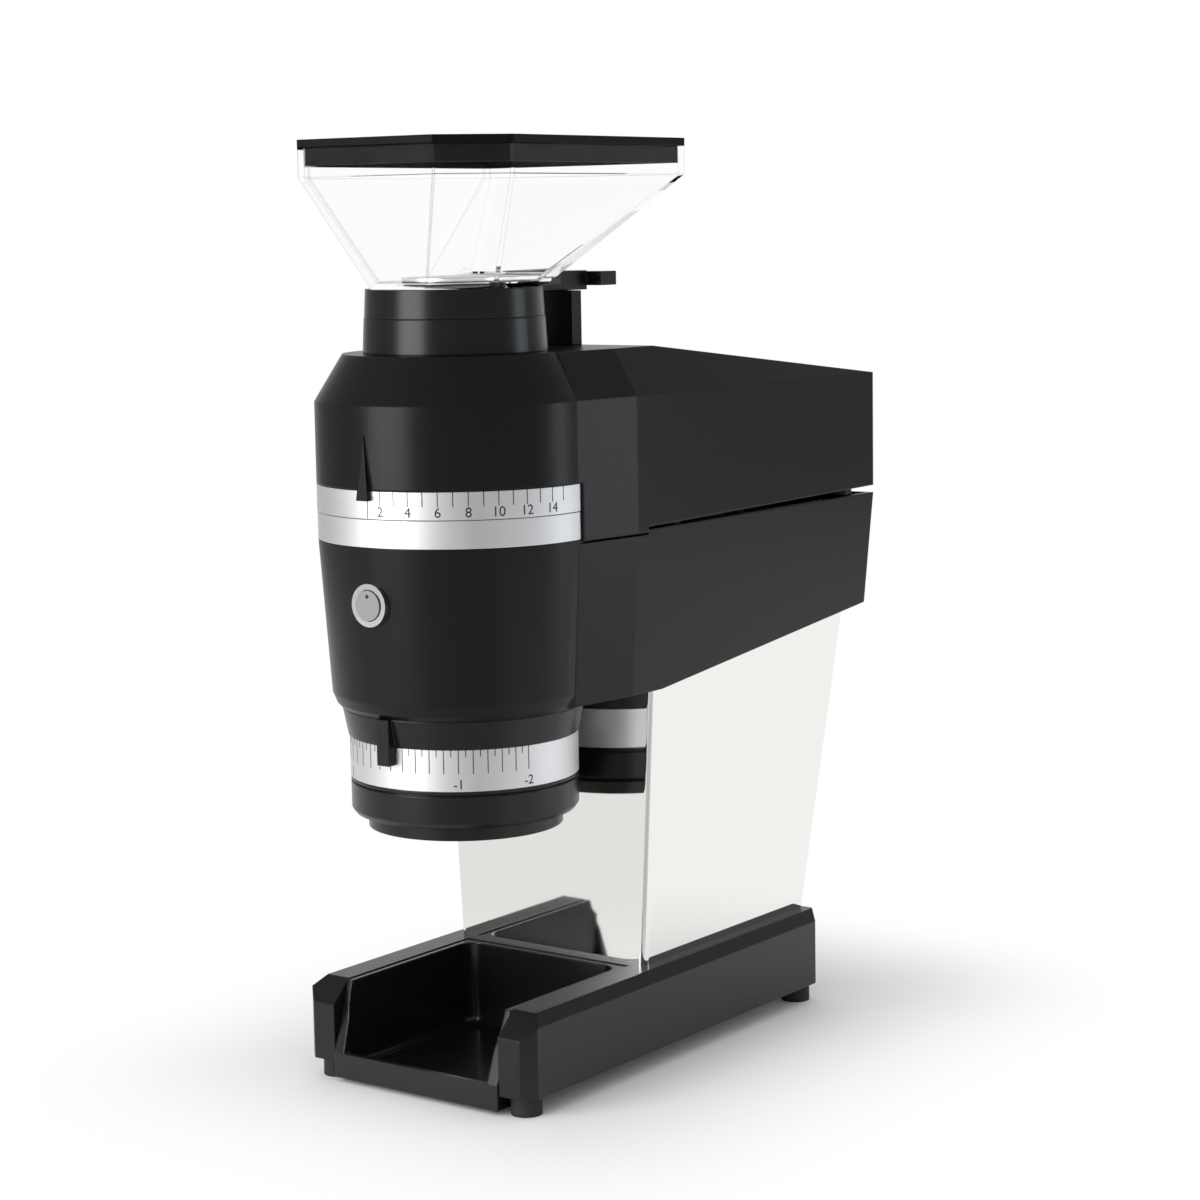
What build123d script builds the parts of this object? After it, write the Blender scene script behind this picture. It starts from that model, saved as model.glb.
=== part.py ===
from build123d import *
import math
import os

os.makedirs("parts", exist_ok=True)

# Burr coffee grinder. Millimetres, Z up, front toward -Y. Heights are measured from the table.
# Depths are measured from the vertical grinding axis, which stands at Y = AXIS_Y.

# Clearances and wall thicknesses
RUN_GAP = 0.3
FIT_GAP = 0.05
WALL = 2.5
SHEET = 1.2
OVER = 1.0

# Head in plan
BARREL_R = 57.0
ARM_HALF_W = 61.0
ARM_REAR = 222.5
FACET_START = 4.7
FACET_END = 39.0
ARM_NOSE_X = 45.0
ARM_NOSE_Y = -20.0
COARSE_POINTER_PROUD = 2.5
AXIS_Y = (BARREL_R + COARSE_POINTER_PROUD - ARM_REAR) / 2
WIDE = ARM_REAR

# Base, feet and tray
FOOT_H = 8.25
FOOT_R = 6.36
FOOT_SCREW_R = 2.0
FOOT_HEAD_R = 3.4
FOOT_HEAD_Z = 2.0
FOOT_HEAD_H = 2.4
FOOT_SCREW_L = 20.0
FOOT_SCREW_TOP = FOOT_HEAD_Z + FOOT_SCREW_L
RAIL_OUT = 59.0
RAIL_W = 16.0
RAIL_IN = RAIL_OUT - RAIL_W
FOOT_X = RAIL_IN + FOOT_R + 0.04
BASE_H = 33.15
BASE_TOP = FOOT_H + BASE_H
BASE_FRONT = -36.5
BASE_REAR = 178.8
FOOT_FRONT = BASE_FRONT + 9.6
FOOT_REAR = BASE_REAR - 7.1
RAIL_NOSE_DEPTH = 10.0
RAIL_NOSE_DROP = 9.2
RAIL_TOP_CHAMFER = 4.4
RAIL_CORNER_CHAMFER = 5.0
POCKET_HALF_W = RAIL_IN - 7.0
POCKET_MARGIN = 6.0
DECK_T = 4.4
PLATE_T = 2.0
PLATE_LAP = 2.0
WIRE_HOLE_X = 12.0
TRAY_BOTTOM = 2.0
TRAY_FRONT = BASE_FRONT - 0.6
TRAY_LIP_H = 10.5
TRAY_LIP_TOP = TRAY_BOTTOM + TRAY_LIP_H
TRAY_TOP = BASE_TOP - 0.4
TRAY_WALL = 2.6
TRAY_CORNER_R = 7.0
TRAY_NOSE_DEPTH = 9.5
TRAY_PAD_R = 4.0
TRAY_PAD_INSET = 12.0
TRAY_HALF_W = RAIL_IN - RUN_GAP
TRAY_MOUTH_LOW = TRAY_HALF_W - 5.2
TRAY_MOUTH_HIGH = TRAY_HALF_W - 3.7
TRAY_PAD_X = TRAY_HALF_W - 8.7

# Column
COLUMN_HALF_W = RAIL_OUT - 9.7
COLUMN_FLARE = 0.0536
COLUMN_FRONT = 55.0
DECK_FRONT = COLUMN_FRONT - 3.0
TRAY_REAR = DECK_FRONT - 0.5
COLUMN_REAR = BASE_REAR - 1.8
WIRE_HOLE_FRONT = (COLUMN_FRONT + COLUMN_REAR) / 2 - 6.0
WIRE_HOLE_REAR = WIRE_HOLE_FRONT + 25.0
COLUMN_REAR_SLOPE = 0.186
COLUMN_CORNER_R = 3.0
SPINE_HALF_W = 35.0
SPINE_FRONT = COLUMN_FRONT + 7.0
SPINE_T = 3.0
SPINE_FOOT = 28.0
SPINE_SLOT_REAR = SPINE_FRONT + 18.0
INLET_Z = BASE_TOP + 32.6
INLET_W = 27.0
INLET_H = 20.0
INLET_DEPTH = 20.0
INLET_FLANGE = 3.0
INLET_FLANGE_T = 1.6
INLET_RECESS = 14.0
INLET_WALL = 2.0
PIN_W = 4.0
PIN_T = 2.0
PIN_L = 10.0
PIN_PITCH = 7.0
BOARD_HALF_W = 28.0
BOARD_LOW = BASE_TOP + 46.6
BOARD_H = 54.0
BOARD_HIGH = BOARD_LOW + BOARD_H
BOARD_T = 1.6
STANDOFF_R = 2.5
STANDOFF_L = 5.0
STANDOFF_INSET = 5.0
RELAY_W = 16.0
RELAY_H = 20.0
RELAY_T = 15.0
RELAY_X = -12.0
CAP_R = 7.0
CAP_L = 18.0
CAP_X = 14.0

# Fine adjustment group, from the spout up to the collar under the housing
SPOUT_CLEARANCE = 66.6
SPOUT_H = 6.1
GRIP_CHAMFER_H = 2.0
GRIP_H = 15.1
GRIP_FLANGE_H = 1.3
GRIP_GROOVE_H = 0.8
GRIP_GROOVE_DEPTH = 0.8
FINE_DIAL_H = 16.6
COLLAR_H = 11.3
RING_GAP = 0.3
INDEX_HALF_W = 3.0
INDEX_DROP = 7.1
FINE_DIAL_R = BARREL_R - 10.5
GRIP_R = FINE_DIAL_R - 0.1
GRIP_LOW_R = GRIP_R - 1.4
SPOUT_R = GRIP_LOW_R - 5.3
SPOUT_MOUTH_R = SPOUT_R - 3.2
COLLAR_LOW_R = FINE_DIAL_R + 0.5
INDEX_R = FINE_DIAL_R + 4.5
SPOUT_LOW = BASE_TOP + SPOUT_CLEARANCE
GRIP_LOW = SPOUT_LOW + SPOUT_H
GRIP_CHAMFER_Z = GRIP_LOW + GRIP_CHAMFER_H
GRIP_TOP = GRIP_LOW + GRIP_H
GRIP_FLANGE_Z = GRIP_TOP - GRIP_FLANGE_H
GRIP_GROOVE_Z = GRIP_FLANGE_Z - GRIP_GROOVE_H
FINE_DIAL_TOP = GRIP_TOP + FINE_DIAL_H
COLLAR_LOW = FINE_DIAL_TOP + RING_GAP
INDEX_LOW = COLLAR_LOW - INDEX_DROP
HOUSING_BOTTOM = COLLAR_LOW + COLLAR_H

# Lower housing
BARREL_H = 68.8
HOUSING_CHAMFER_H = 2.1
HOUSING_SKIRT_H = 6.3
HOUSING_LIP_R = COLLAR_LOW_R + 2.2
HOUSING_CHAMFER_R = HOUSING_LIP_R + 2.0
HOUSING_SKIRT_R = HOUSING_CHAMFER_R + 1.7
BARREL_TOP_R = BARREL_R - 0.1
BARREL_BORE_R = BARREL_R - 7.0
HOUSING_CHAMFER_Z = HOUSING_BOTTOM + HOUSING_CHAMFER_H
HOUSING_SKIRT_Z = HOUSING_BOTTOM + HOUSING_SKIRT_H
BARREL_SEAT_Z = HOUSING_BOTTOM + BARREL_H
HOUSING_FLOOR_T = 3.0
LOWER_TOP_FRONT = BARREL_SEAT_Z - 1.8
LOWER_TOP_REAR = BARREL_SEAT_Z + 0.2
SEAM_STEP = FACET_END + 7.0
UNDER_Z = HOUSING_BOTTOM + 1.3
UNDER_FLAT_END = COLUMN_FRONT + 5.0
UNDER_SLOPE = 0.1102
POST_X = ARM_HALF_W - 9.0
POST_Y_FRONT = COLUMN_FRONT + 15.0
POST_Y_REAR = ARM_REAR - 17.5
POST_R = 4.5
SCREW_R = 1.6
SCREW_HEAD_R = 3.0
SCREW_HEAD_H = 2.4
COVER_SCREW_SEAT = LOWER_TOP_REAR - 26.4
COVER_SCREW_L = 40.0
COVER_SCREW_TOP = COVER_SCREW_SEAT + COVER_SCREW_L
HOUSING_DRAFT = (BARREL_TOP_R - HOUSING_SKIRT_R) / (BARREL_SEAT_Z - HOUSING_SKIRT_Z)
ARM_LOFT_DROP = 10.0
ARM_LOFT_Z = UNDER_Z - ARM_LOFT_DROP

# Silver rings
TRIM_H = 10.9
DIAL_H = 11.1
DIAL_WEB_T = 5.0
DIAL_WEB_DROP = 3.2
DIAL_BAND_R = BARREL_R - 5.0
TRIM_TOP = BARREL_SEAT_Z + TRIM_H
DIAL_TOP = TRIM_TOP + DIAL_H
DIAL_WEB_HIGH = DIAL_TOP - DIAL_WEB_DROP
DIAL_WEB_LOW = DIAL_WEB_HIGH - DIAL_WEB_T
COVER_BARREL_Z = DIAL_TOP + RING_GAP

# Upper cover
COVER_EDGE_FRONT = LOWER_TOP_FRONT + 0.9
COVER_EDGE_STEP = LOWER_TOP_REAR + 1.1
COVER_EDGE_REAR = LOWER_TOP_REAR + 3.3
COVER_BARREL_H = 32.3
EAVES_Z = COVER_BARREL_Z + COVER_BARREL_H
ROOF_INSET = 11.6
ROOF_RISE = 18.7
ROOF_FLAT_END = FACET_END + 28.0
ROOF_Z = EAVES_Z + ROOF_RISE
ROOF_TAPER = math.degrees(math.atan(ROOF_INSET / ROOF_RISE))
COVER_POST_R = ARM_HALF_W - WALL + 0.4 - POST_X
COVER_POST_TOP = EAVES_Z - 1.8
POINTER_TIP_Z = EAVES_Z - 10.8
POINTER_OVERLAP = 3.6
POINTER_LOW_Z = DIAL_TOP - POINTER_OVERLAP
POINTER_HALF_W = 2.85
POINTER_TIP_PROUD = 0.6

# Grinding chamber
CHAMBER_T = 2.5
CHAMBER_FLANGE_T = 3.0
SLEEVE_T = 2.2
SLEEVE_H = 50.8
CHAMBER_R = BARREL_BORE_R - 16.0
CHAMBER_TOP = BARREL_SEAT_Z - 2.2
SLEEVE_TOP = GRIP_TOP + SLEEVE_H
FINE_SLEEVE_R = CHAMBER_R - RUN_GAP
FINE_BORE_R = FINE_SLEEVE_R - SLEEVE_T
CHAMBER_OUT_R = CHAMBER_R + CHAMBER_T
FINE_DIAL_BORE_R = CHAMBER_OUT_R + 0.5

# Burrs, shaft and bearings
SHAFT_R = 5.0
SHAFT_TAIL = 2.4
SHOULDER_R = 7.0
BURR_H = 35.0
SHOULDER_H = 18.6
OUTER_BURR_R = CHAMBER_R - 4.0
BURR_WALL = 6.0
BURR_TOP_WALL = 5.0
INNER_BURR_LOW_R = OUTER_BURR_R - BURR_WALL
INNER_BURR_TOP_R = SHAFT_R + BURR_TOP_WALL
FLUTES = 10
FLUTE_W = 2.0
FLUTE_DEPTH = 2.2
BURR_GAP = 0.8
BURR_MID_H = 7.0
BURR_MID_GAP = 1.4
OUTER_BURR_MOUTH_R = OUTER_BURR_R - 1.5
CARRIER_R = CHAMBER_R - RUN_GAP
NUT_R = 7.5
NUT_H = 6.0
BEARING_R = 9.0
BEARING_H = 6.0
HUB_R = 12.5
BRIDGE_RIM_R = FINE_SLEEVE_R - 5.7
LIFT_GAP = 0.4
BRIDGE_LOW = SLEEVE_TOP + LIFT_GAP
BRIDGE_TOP = BRIDGE_LOW + BEARING_H
SHAFT_LOW = BRIDGE_LOW - SHAFT_TAIL
BURR_LOW = BRIDGE_TOP + SHOULDER_H
BURR_TOP = BURR_LOW + BURR_H
BURR_MID_Z = BURR_LOW + BURR_MID_H
CARRIER_TOP = BURR_TOP + NUT_H
SPOKE_W = 6.0
SPOKES = 3

# Drive
CHASSIS_LOW = DIAL_TOP + 1.8
CHASSIS_T = 4.0
CHASSIS_HALF_W = 40.0
MOTOR_SETBACK = 72.5
SPIDER_MARGIN = 9.0
SPIDER_RIM_W = 8.0
CHASSIS_OVERHANG = 38.0
MOTOR_Y = ARM_REAR - MOTOR_SETBACK
SPIDER_R = BARREL_R - SPIDER_MARGIN
SPIDER_RIM_R = SPIDER_R - SPIDER_RIM_W
CHASSIS_FRONT = SPIDER_R - 4.0
CHASSIS_REAR = MOTOR_Y + CHASSIS_OVERHANG
MOTOR_R = 32.0
MOTOR_H = 72.0
MOTOR_SHAFT_R = 3.0
MOTOR_SHAFT_HOLE_R = 8.0
MOTOR_SCREW_X = 20.0
MOTOR_SCREW_DEPTH = 2.0
ARMATURE_R = 20.0
ARMATURE_MARGIN = 12.0
VENTS = 6
VENT_W = 10.0
VENT_H = 30.0
PULLEY_LOW = CHASSIS_LOW + 11.0
PULLEY_H = 10.0
BURR_PULLEY_R = 26.0
BURR_PULLEY_RIM = 4.0
BURR_PULLEY_HUB_R = 8.0
BURR_PULLEY_SPOKE_W = 5.0
MOTOR_PULLEY_R = 11.0
BELT_T = 2.0
BELT_MARGIN = 1.0
SHAFT_TOP = PULLEY_LOW + PULLEY_H + 3.0
CHASSIS_TOP = CHASSIS_LOW + CHASSIS_T

# Push button
BUTTON_Z = BARREL_SEAT_Z - 22.7
BEZEL_R = 8.5
BEZEL_BODY_R = 7.4
BEZEL_FRONT = -BARREL_R - 0.2
BEZEL_SEAT = BEZEL_FRONT + 3.2
BEZEL_REAR = BEZEL_SEAT + 8.0
CAP_BUTTON_R = 6.0
CAP_FRONT = BEZEL_FRONT - 0.7
CAP_REAR = CAP_FRONT + 7.4
CAP_STEM_R = 2.0
CAP_STEM_REAR = BEZEL_REAR + 1.0
SWITCH_HALF = 6.0
SWITCH_REAR = BEZEL_REAR + 8.8
SWITCH_HOLE_REAR = BEZEL_REAR + 6.0

# Neck, gate, hopper and lid
NECK_LOWER_H = 13.9
NECK_UPPER_H = 11.6
NECK_STEP = 0.2
FEED_R = 20.0
FEED_T = 2.0
FEED_LOW = SHAFT_TOP + 0.5
NECK_BORE_R = FEED_R + 4.0
NECK_LOW_R = NECK_BORE_R + 13.1
NECK_MID_R = NECK_LOW_R - 0.7
NECK_TOP_R = NECK_MID_R - 0.8
NECK_MID_Z = ROOF_Z + NECK_LOWER_H
NECK_TOP = NECK_MID_Z + NECK_UPPER_H
LATCH_HALF_W = 14.0
LATCH_T = 6.5
LATCH_REAR = ROOF_FLAT_END - 1.0
LATCH_FRONT = LATCH_REAR - LATCH_T
LATCH_TOP = NECK_TOP - 3.0
HOPPER_FLOOR_T = 2.6
GATE_FLOOR = NECK_TOP + HOPPER_FLOOR_T
GATE_T = 1.8
GATE_HALF_W = FEED_R + 0.5
STEM_HALF_W = 6.7
STEM_H = 8.0
STEM_TOP = LATCH_TOP + STEM_H
HANDLE_HALF_W = 14.0
HANDLE_T = 11.0
HANDLE_LOW = LATCH_TOP + 1.7
HANDLE_TOP = STEM_TOP - 0.5
HANDLE_FRONT = LATCH_REAR + 14.0
HANDLE_REAR = HANDLE_FRONT + HANDLE_T
GUIDE_HALF_W = GATE_HALF_W + 4.5
GUIDE_H = 7.0
GUIDE_TOP = NECK_TOP + GUIDE_H
HOPPER_WALL = 2.6
HOPPER_SPIGOT_LOW = NECK_TOP - 9.0
HOPPER_SPIGOT_R = NECK_BORE_R - 0.4
HOPPER_SLOPE_H = 44.0
HOPPER_RIM_H = 11.5
LID_T = 3.1
LID_SKIRT_H = 7.0
HOPPER_BREAK_Z = NECK_TOP + HOPPER_SLOPE_H
HOPPER_TOP = HOPPER_BREAK_Z + HOPPER_RIM_H
LID_TOP = HOPPER_TOP + LID_T
LID_SKIRT_LOW = HOPPER_TOP - LID_SKIRT_H
LID_SKIRT_T = 2.0
LID_GAP = 0.5
HOPPER_HALF_W = 53.3
HOPPER_FRONT = -52.9
HOPPER_FRONT_X = HOPPER_HALF_W - 19.3
HOPPER_CORNER_Y = HOPPER_FRONT + 25.4
HOPPER_REAR = 89.0
HOPPER_REAR_CHAMFER = 3.0
THROAT_HALF_W = NECK_TOP_R - 4.2
THROAT_FRONT = 1.1 - NECK_TOP_R
THROAT_REAR = NECK_TOP_R - 3.3
THROAT_FRONT_X = THROAT_HALF_W - 17.4
THROAT_CORNER_Y = THROAT_FRONT + 22.9
THROAT_REAR_CHAMFER = 14.0
GUIDE_FRONT = THROAT_REAR - 12.3
GUIDE_REAR = THROAT_REAR + 5.7
STEM_FRONT = GUIDE_REAR + 1.6


def level(z):
    """Horizontal plane at height z, centred on the grinding axis."""
    return Plane(origin=(0, AXIS_Y, z))


def side(x):
    """Side plane: local x is depth behind the axis, local y is height, normal +X."""
    return Plane(origin=(x, AXIS_Y, 0), x_dir=(0, 1, 0), z_dir=(1, 0, 0))


def front(y):
    """Front plane at depth y: local x is +X, local y is height, normal -Y."""
    return Plane(origin=(0, AXIS_Y + y, 0), x_dir=(1, 0, 0), z_dir=(0, -1, 0))


GRIND_AXIS = Axis((0, AXIS_Y, 0), (0, 0, 1))
PROFILE = front(0)


def face(plane, points):
    """Closed polygon on a plane."""
    with BuildSketch(plane) as outline:
        with BuildLine():
            Polyline(*points, close=True)
        make_face()
    return outline.sketch


def mirrored(points):
    """Right-hand outline from front to rear, closed by its mirror image."""
    return points + [(-x, y) for x, y in reversed(points)]


def inset(points, distance):
    """Convex anticlockwise polygon with every edge moved inward."""
    lines = []
    for (x0, y0), (x1, y1) in zip(points, points[1:] + points[:1]):
        length = math.hypot(x1 - x0, y1 - y0)
        nx = (y0 - y1) / length
        ny = (x1 - x0) / length
        lines.append((nx, ny, nx * x0 + ny * y0 + distance))
    corners = []
    for (a0, b0, c0), (a1, b1, c1) in zip(lines[-1:] + lines[:-1], lines):
        det = a0 * b1 - a1 * b0
        corners.append(((c0 * b1 - c1 * b0) / det, (a0 * c1 - a1 * c0) / det))
    return corners


def block(x0, x1, y0, y1, z0, z1, mode=Mode.ADD):
    """Box between two corners."""
    with Locations(((x0 + x1) / 2, AXIS_Y + (y0 + y1) / 2, (z0 + z1) / 2)):
        Box(x1 - x0, y1 - y0, z1 - z0, mode=mode)


def drum(radius, x, y, z0, z1, mode=Mode.ADD):
    """Upright cylinder."""
    with Locations((x, AXIS_Y + y, (z0 + z1) / 2)):
        Cylinder(radius, z1 - z0, mode=mode)


def drum_y(radius, x, z, y0, y1, mode=Mode.ADD):
    """Cylinder lying front to rear."""
    with Locations(Location((x, AXIS_Y + (y0 + y1) / 2, z), (90, 0, 0))):
        Cylinder(radius, y1 - y0, mode=mode)


def spokes(inner_r, outer_r, width, z0, z1, count):
    """Radial bars round the grinding axis, the first one pointing to the rear."""
    for k in range(count):
        turn = 90 + 360 * k / count
        middle = (inner_r + outer_r) / 2
        x = middle * math.cos(math.radians(turn))
        y = AXIS_Y + middle * math.sin(math.radians(turn))
        with Locations(Location((x, y, (z0 + z1) / 2), (0, 0, turn))):
            Box(outer_r - inner_r, width, z1 - z0)


def underside(y):
    """Height of the underside of the arm at depth y."""
    return UNDER_Z + max(0.0, y - UNDER_FLAT_END) * UNDER_SLOPE


def column_rear(z):
    """Depth of the rear of the column at height z."""
    return COLUMN_REAR + COLUMN_REAR_SLOPE * (z - BASE_TOP)


def column_half(z):
    """Half width of the column at height z."""
    return COLUMN_HALF_W + COLUMN_FLARE * (z - BASE_TOP)


FEET = [(x, y) for x in (-FOOT_X, FOOT_X) for y in (FOOT_FRONT, FOOT_REAR)]
POSTS = [(x, y) for x in (-POST_X, POST_X) for y in (POST_Y_FRONT, POST_Y_REAR)]
FACET_X = math.sqrt(BARREL_R**2 - FACET_START**2)
ARM_PLAN = mirrored(
    [
        (ARM_NOSE_X, ARM_NOSE_Y),
        (FACET_X, FACET_START),
        (ARM_HALF_W, FACET_END),
        (ARM_HALF_W, ARM_REAR),
    ]
)
HOPPER_PLAN = mirrored(
    [
        (HOPPER_FRONT_X, HOPPER_FRONT),
        (HOPPER_HALF_W, HOPPER_CORNER_Y),
        (HOPPER_HALF_W, HOPPER_REAR - HOPPER_REAR_CHAMFER),
        (HOPPER_HALF_W - HOPPER_REAR_CHAMFER, HOPPER_REAR),
    ]
)
THROAT_PLAN = mirrored(
    [
        (THROAT_FRONT_X, THROAT_FRONT),
        (THROAT_HALF_W, THROAT_CORNER_Y),
        (THROAT_HALF_W, THROAT_REAR - THROAT_REAR_CHAMFER),
        (THROAT_HALF_W - THROAT_REAR_CHAMFER, THROAT_REAR),
    ]
)

# Base: two rails and a rear deck in one casting
with BuildPart() as base_frame:
    extrude(
        face(
            side(0),
            [
                (BASE_FRONT, FOOT_H),
                (BASE_REAR, FOOT_H),
                (BASE_REAR, BASE_TOP),
                (BASE_FRONT + RAIL_NOSE_DEPTH, BASE_TOP),
                (BASE_FRONT, BASE_TOP - RAIL_NOSE_DROP),
            ],
        ),
        amount=RAIL_OUT,
        both=True,
    )
    chamfer(base_frame.edges().filter_by(Axis.Y).group_by(Axis.Z)[-1], RAIL_TOP_CHAMFER)
    chamfer(base_frame.edges().filter_by(Axis.Z), RAIL_CORNER_CHAMFER)
    block(-RAIL_IN, RAIL_IN, BASE_FRONT - OVER, DECK_FRONT, 0, BASE_TOP + OVER, Mode.SUBTRACT)
    block(
        -POCKET_HALF_W,
        POCKET_HALF_W,
        DECK_FRONT + POCKET_MARGIN,
        BASE_REAR - POCKET_MARGIN,
        0,
        BASE_TOP - DECK_T,
        Mode.SUBTRACT,
    )
    block(
        -POCKET_HALF_W - PLATE_LAP,
        POCKET_HALF_W + PLATE_LAP,
        DECK_FRONT + POCKET_MARGIN - PLATE_LAP,
        BASE_REAR - POCKET_MARGIN + PLATE_LAP,
        0,
        FOOT_H + PLATE_T,
        Mode.SUBTRACT,
    )
    block(-WIRE_HOLE_X, WIRE_HOLE_X, WIRE_HOLE_FRONT, WIRE_HOLE_REAR, 0, BASE_TOP + OVER, Mode.SUBTRACT)
    for foot_x, foot_y in FEET:
        drum(FOOT_SCREW_R, foot_x, foot_y, 0, FOOT_SCREW_TOP, Mode.SUBTRACT)

base_frame.part.label = "base_frame"
export_step(base_frame.part, "parts/base_frame.step")

with BuildPart() as bottom_plate:
    block(
        -POCKET_HALF_W - PLATE_LAP,
        POCKET_HALF_W + PLATE_LAP,
        DECK_FRONT + POCKET_MARGIN - PLATE_LAP,
        BASE_REAR - POCKET_MARGIN + PLATE_LAP,
        FOOT_H,
        FOOT_H + PLATE_T,
    )

bottom_plate.part.label = "bottom_plate"
export_step(bottom_plate.part, "parts/bottom_plate.step")

with BuildPart() as rubber_feet:
    for foot_x, foot_y in FEET:
        drum(FOOT_R, foot_x, foot_y, 0, FOOT_H)
        drum(FOOT_HEAD_R, foot_x, foot_y, 0, FOOT_HEAD_Z + FOOT_HEAD_H, Mode.SUBTRACT)
        drum(FOOT_SCREW_R, foot_x, foot_y, 0, FOOT_H, Mode.SUBTRACT)

rubber_feet.part.label = "rubber_feet"
export_step(rubber_feet.part, "parts/rubber_feet.step")

with BuildPart() as foot_screws:
    for foot_x, foot_y in FEET:
        drum(FOOT_HEAD_R, foot_x, foot_y, FOOT_HEAD_Z, FOOT_HEAD_Z + FOOT_HEAD_H)
        drum(FOOT_SCREW_R, foot_x, foot_y, FOOT_HEAD_Z, FOOT_SCREW_TOP)

foot_screws.part.label = "foot_screws"
export_step(foot_screws.part, "parts/foot_screws.step")

# Tray: open-fronted scoop between the rails, standing on four glides
with BuildPart() as tray_hollow:
    block(
        -TRAY_HALF_W + TRAY_WALL,
        TRAY_HALF_W - TRAY_WALL,
        TRAY_FRONT + TRAY_WALL,
        TRAY_REAR - TRAY_WALL,
        TRAY_BOTTOM + TRAY_WALL,
        TRAY_TOP + TRAY_CORNER_R,
    )
    fillet(tray_hollow.edges().filter_by(Axis.Z), TRAY_CORNER_R)
    fillet(tray_hollow.faces().sort_by(Axis.Z)[0].edges(), TRAY_CORNER_R - TRAY_WALL)

with BuildPart() as grounds_tray:
    extrude(
        face(
            side(0),
            [
                (TRAY_FRONT, TRAY_BOTTOM),
                (TRAY_REAR, TRAY_BOTTOM),
                (TRAY_REAR, TRAY_TOP),
                (TRAY_FRONT + TRAY_NOSE_DEPTH, TRAY_TOP),
                (TRAY_FRONT, TRAY_LIP_TOP),
            ],
        ),
        amount=TRAY_HALF_W,
        both=True,
    )
    add(tray_hollow.part, mode=Mode.SUBTRACT)
    extrude(
        face(
            front(TRAY_FRONT - OVER),
            [
                (-TRAY_MOUTH_LOW, TRAY_LIP_TOP),
                (TRAY_MOUTH_LOW, TRAY_LIP_TOP),
                (TRAY_MOUTH_HIGH, TRAY_TOP + OVER),
                (-TRAY_MOUTH_HIGH, TRAY_TOP + OVER),
            ],
        ),
        amount=-(TRAY_NOSE_DEPTH + TRAY_CORNER_R + OVER),
        mode=Mode.SUBTRACT,
    )

grounds_tray.part.label = "grounds_tray"
export_step(grounds_tray.part, "parts/grounds_tray.step")

with BuildPart() as tray_glides:
    for pad_x in (-TRAY_PAD_X, TRAY_PAD_X):
        for pad_y in (TRAY_FRONT + TRAY_PAD_INSET, TRAY_REAR - TRAY_PAD_INSET):
            drum(TRAY_PAD_R, pad_x, pad_y, 0, TRAY_BOTTOM)

tray_glides.part.label = "tray_glides"
export_step(tray_glides.part, "parts/tray_glides.step")

# Column: folded polished sheet, closed by a rear panel
COLUMN_LOFT_TOP = UNDER_Z + 31.3
COLUMN_TOP_CUT = [
    (0, UNDER_Z),
    (UNDER_FLAT_END, UNDER_Z),
    (ARM_REAR + WIDE, underside(ARM_REAR + WIDE)),
    (ARM_REAR + WIDE, ARM_REAR + WIDE),
    (0, ARM_REAR + WIDE),
]


def column_profile(margin):
    """Front view of the column, margin inside its outer faces."""
    low = COLUMN_HALF_W - margin
    high = column_half(COLUMN_LOFT_TOP) - margin
    return [(-low, BASE_TOP), (low, BASE_TOP), (high, COLUMN_LOFT_TOP), (-high, COLUMN_LOFT_TOP)]


with BuildPart() as column_core:
    extrude(face(front(COLUMN_FRONT + SHEET), column_profile(SHEET)), amount=-WIDE)
    fillet(
        column_core.faces().sort_by(Axis.Y)[0].edges().filter_by(Axis.X, reverse=True),
        COLUMN_CORNER_R - SHEET,
    )

with BuildPart() as column_shell:
    extrude(face(front(COLUMN_FRONT), column_profile(0)), amount=-WIDE)
    fillet(
        column_shell.faces().sort_by(Axis.Y)[0].edges().filter_by(Axis.X, reverse=True),
        COLUMN_CORNER_R,
    )
    add(column_core.part, mode=Mode.SUBTRACT)
    extrude(face(side(0), COLUMN_TOP_CUT), amount=WIDE, both=True, mode=Mode.SUBTRACT)
    extrude(
        face(
            side(0),
            [
                (COLUMN_REAR, BASE_TOP),
                (COLUMN_REAR + WIDE, BASE_TOP),
                (COLUMN_REAR + WIDE, COLUMN_LOFT_TOP + OVER),
                (column_rear(COLUMN_LOFT_TOP + OVER), COLUMN_LOFT_TOP + OVER),
            ],
        ),
        amount=WIDE,
        both=True,
        mode=Mode.SUBTRACT,
    )

column_shell.part.label = "column_shell"
export_step(column_shell.part, "parts/column_shell.step")

INLET_PLANE = Plane(
    origin=(0, AXIS_Y + column_rear(INLET_Z), INLET_Z),
    x_dir=(-1, 0, 0),
    z_dir=(0, 1, -COLUMN_REAR_SLOPE),
)

with BuildPart() as column_back_panel:
    extrude(face(front(COLUMN_FRONT + SHEET + COLUMN_CORNER_R), column_profile(SHEET)), amount=-WIDE)
    extrude(
        face(
            side(0),
            [
                (COLUMN_REAR - SHEET, BASE_TOP),
                (COLUMN_REAR, BASE_TOP),
                (column_rear(COLUMN_LOFT_TOP), COLUMN_LOFT_TOP),
                (column_rear(COLUMN_LOFT_TOP) - SHEET, COLUMN_LOFT_TOP),
            ],
        ),
        amount=WIDE,
        both=True,
        mode=Mode.INTERSECT,
    )
    extrude(face(side(0), COLUMN_TOP_CUT), amount=WIDE, both=True, mode=Mode.SUBTRACT)
    with BuildSketch(INLET_PLANE):
        Rectangle(INLET_W, INLET_H)
    extrude(amount=INLET_DEPTH, both=True, mode=Mode.SUBTRACT)

column_back_panel.part.label = "column_back_panel"
export_step(column_back_panel.part, "parts/column_back_panel.step")

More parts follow.
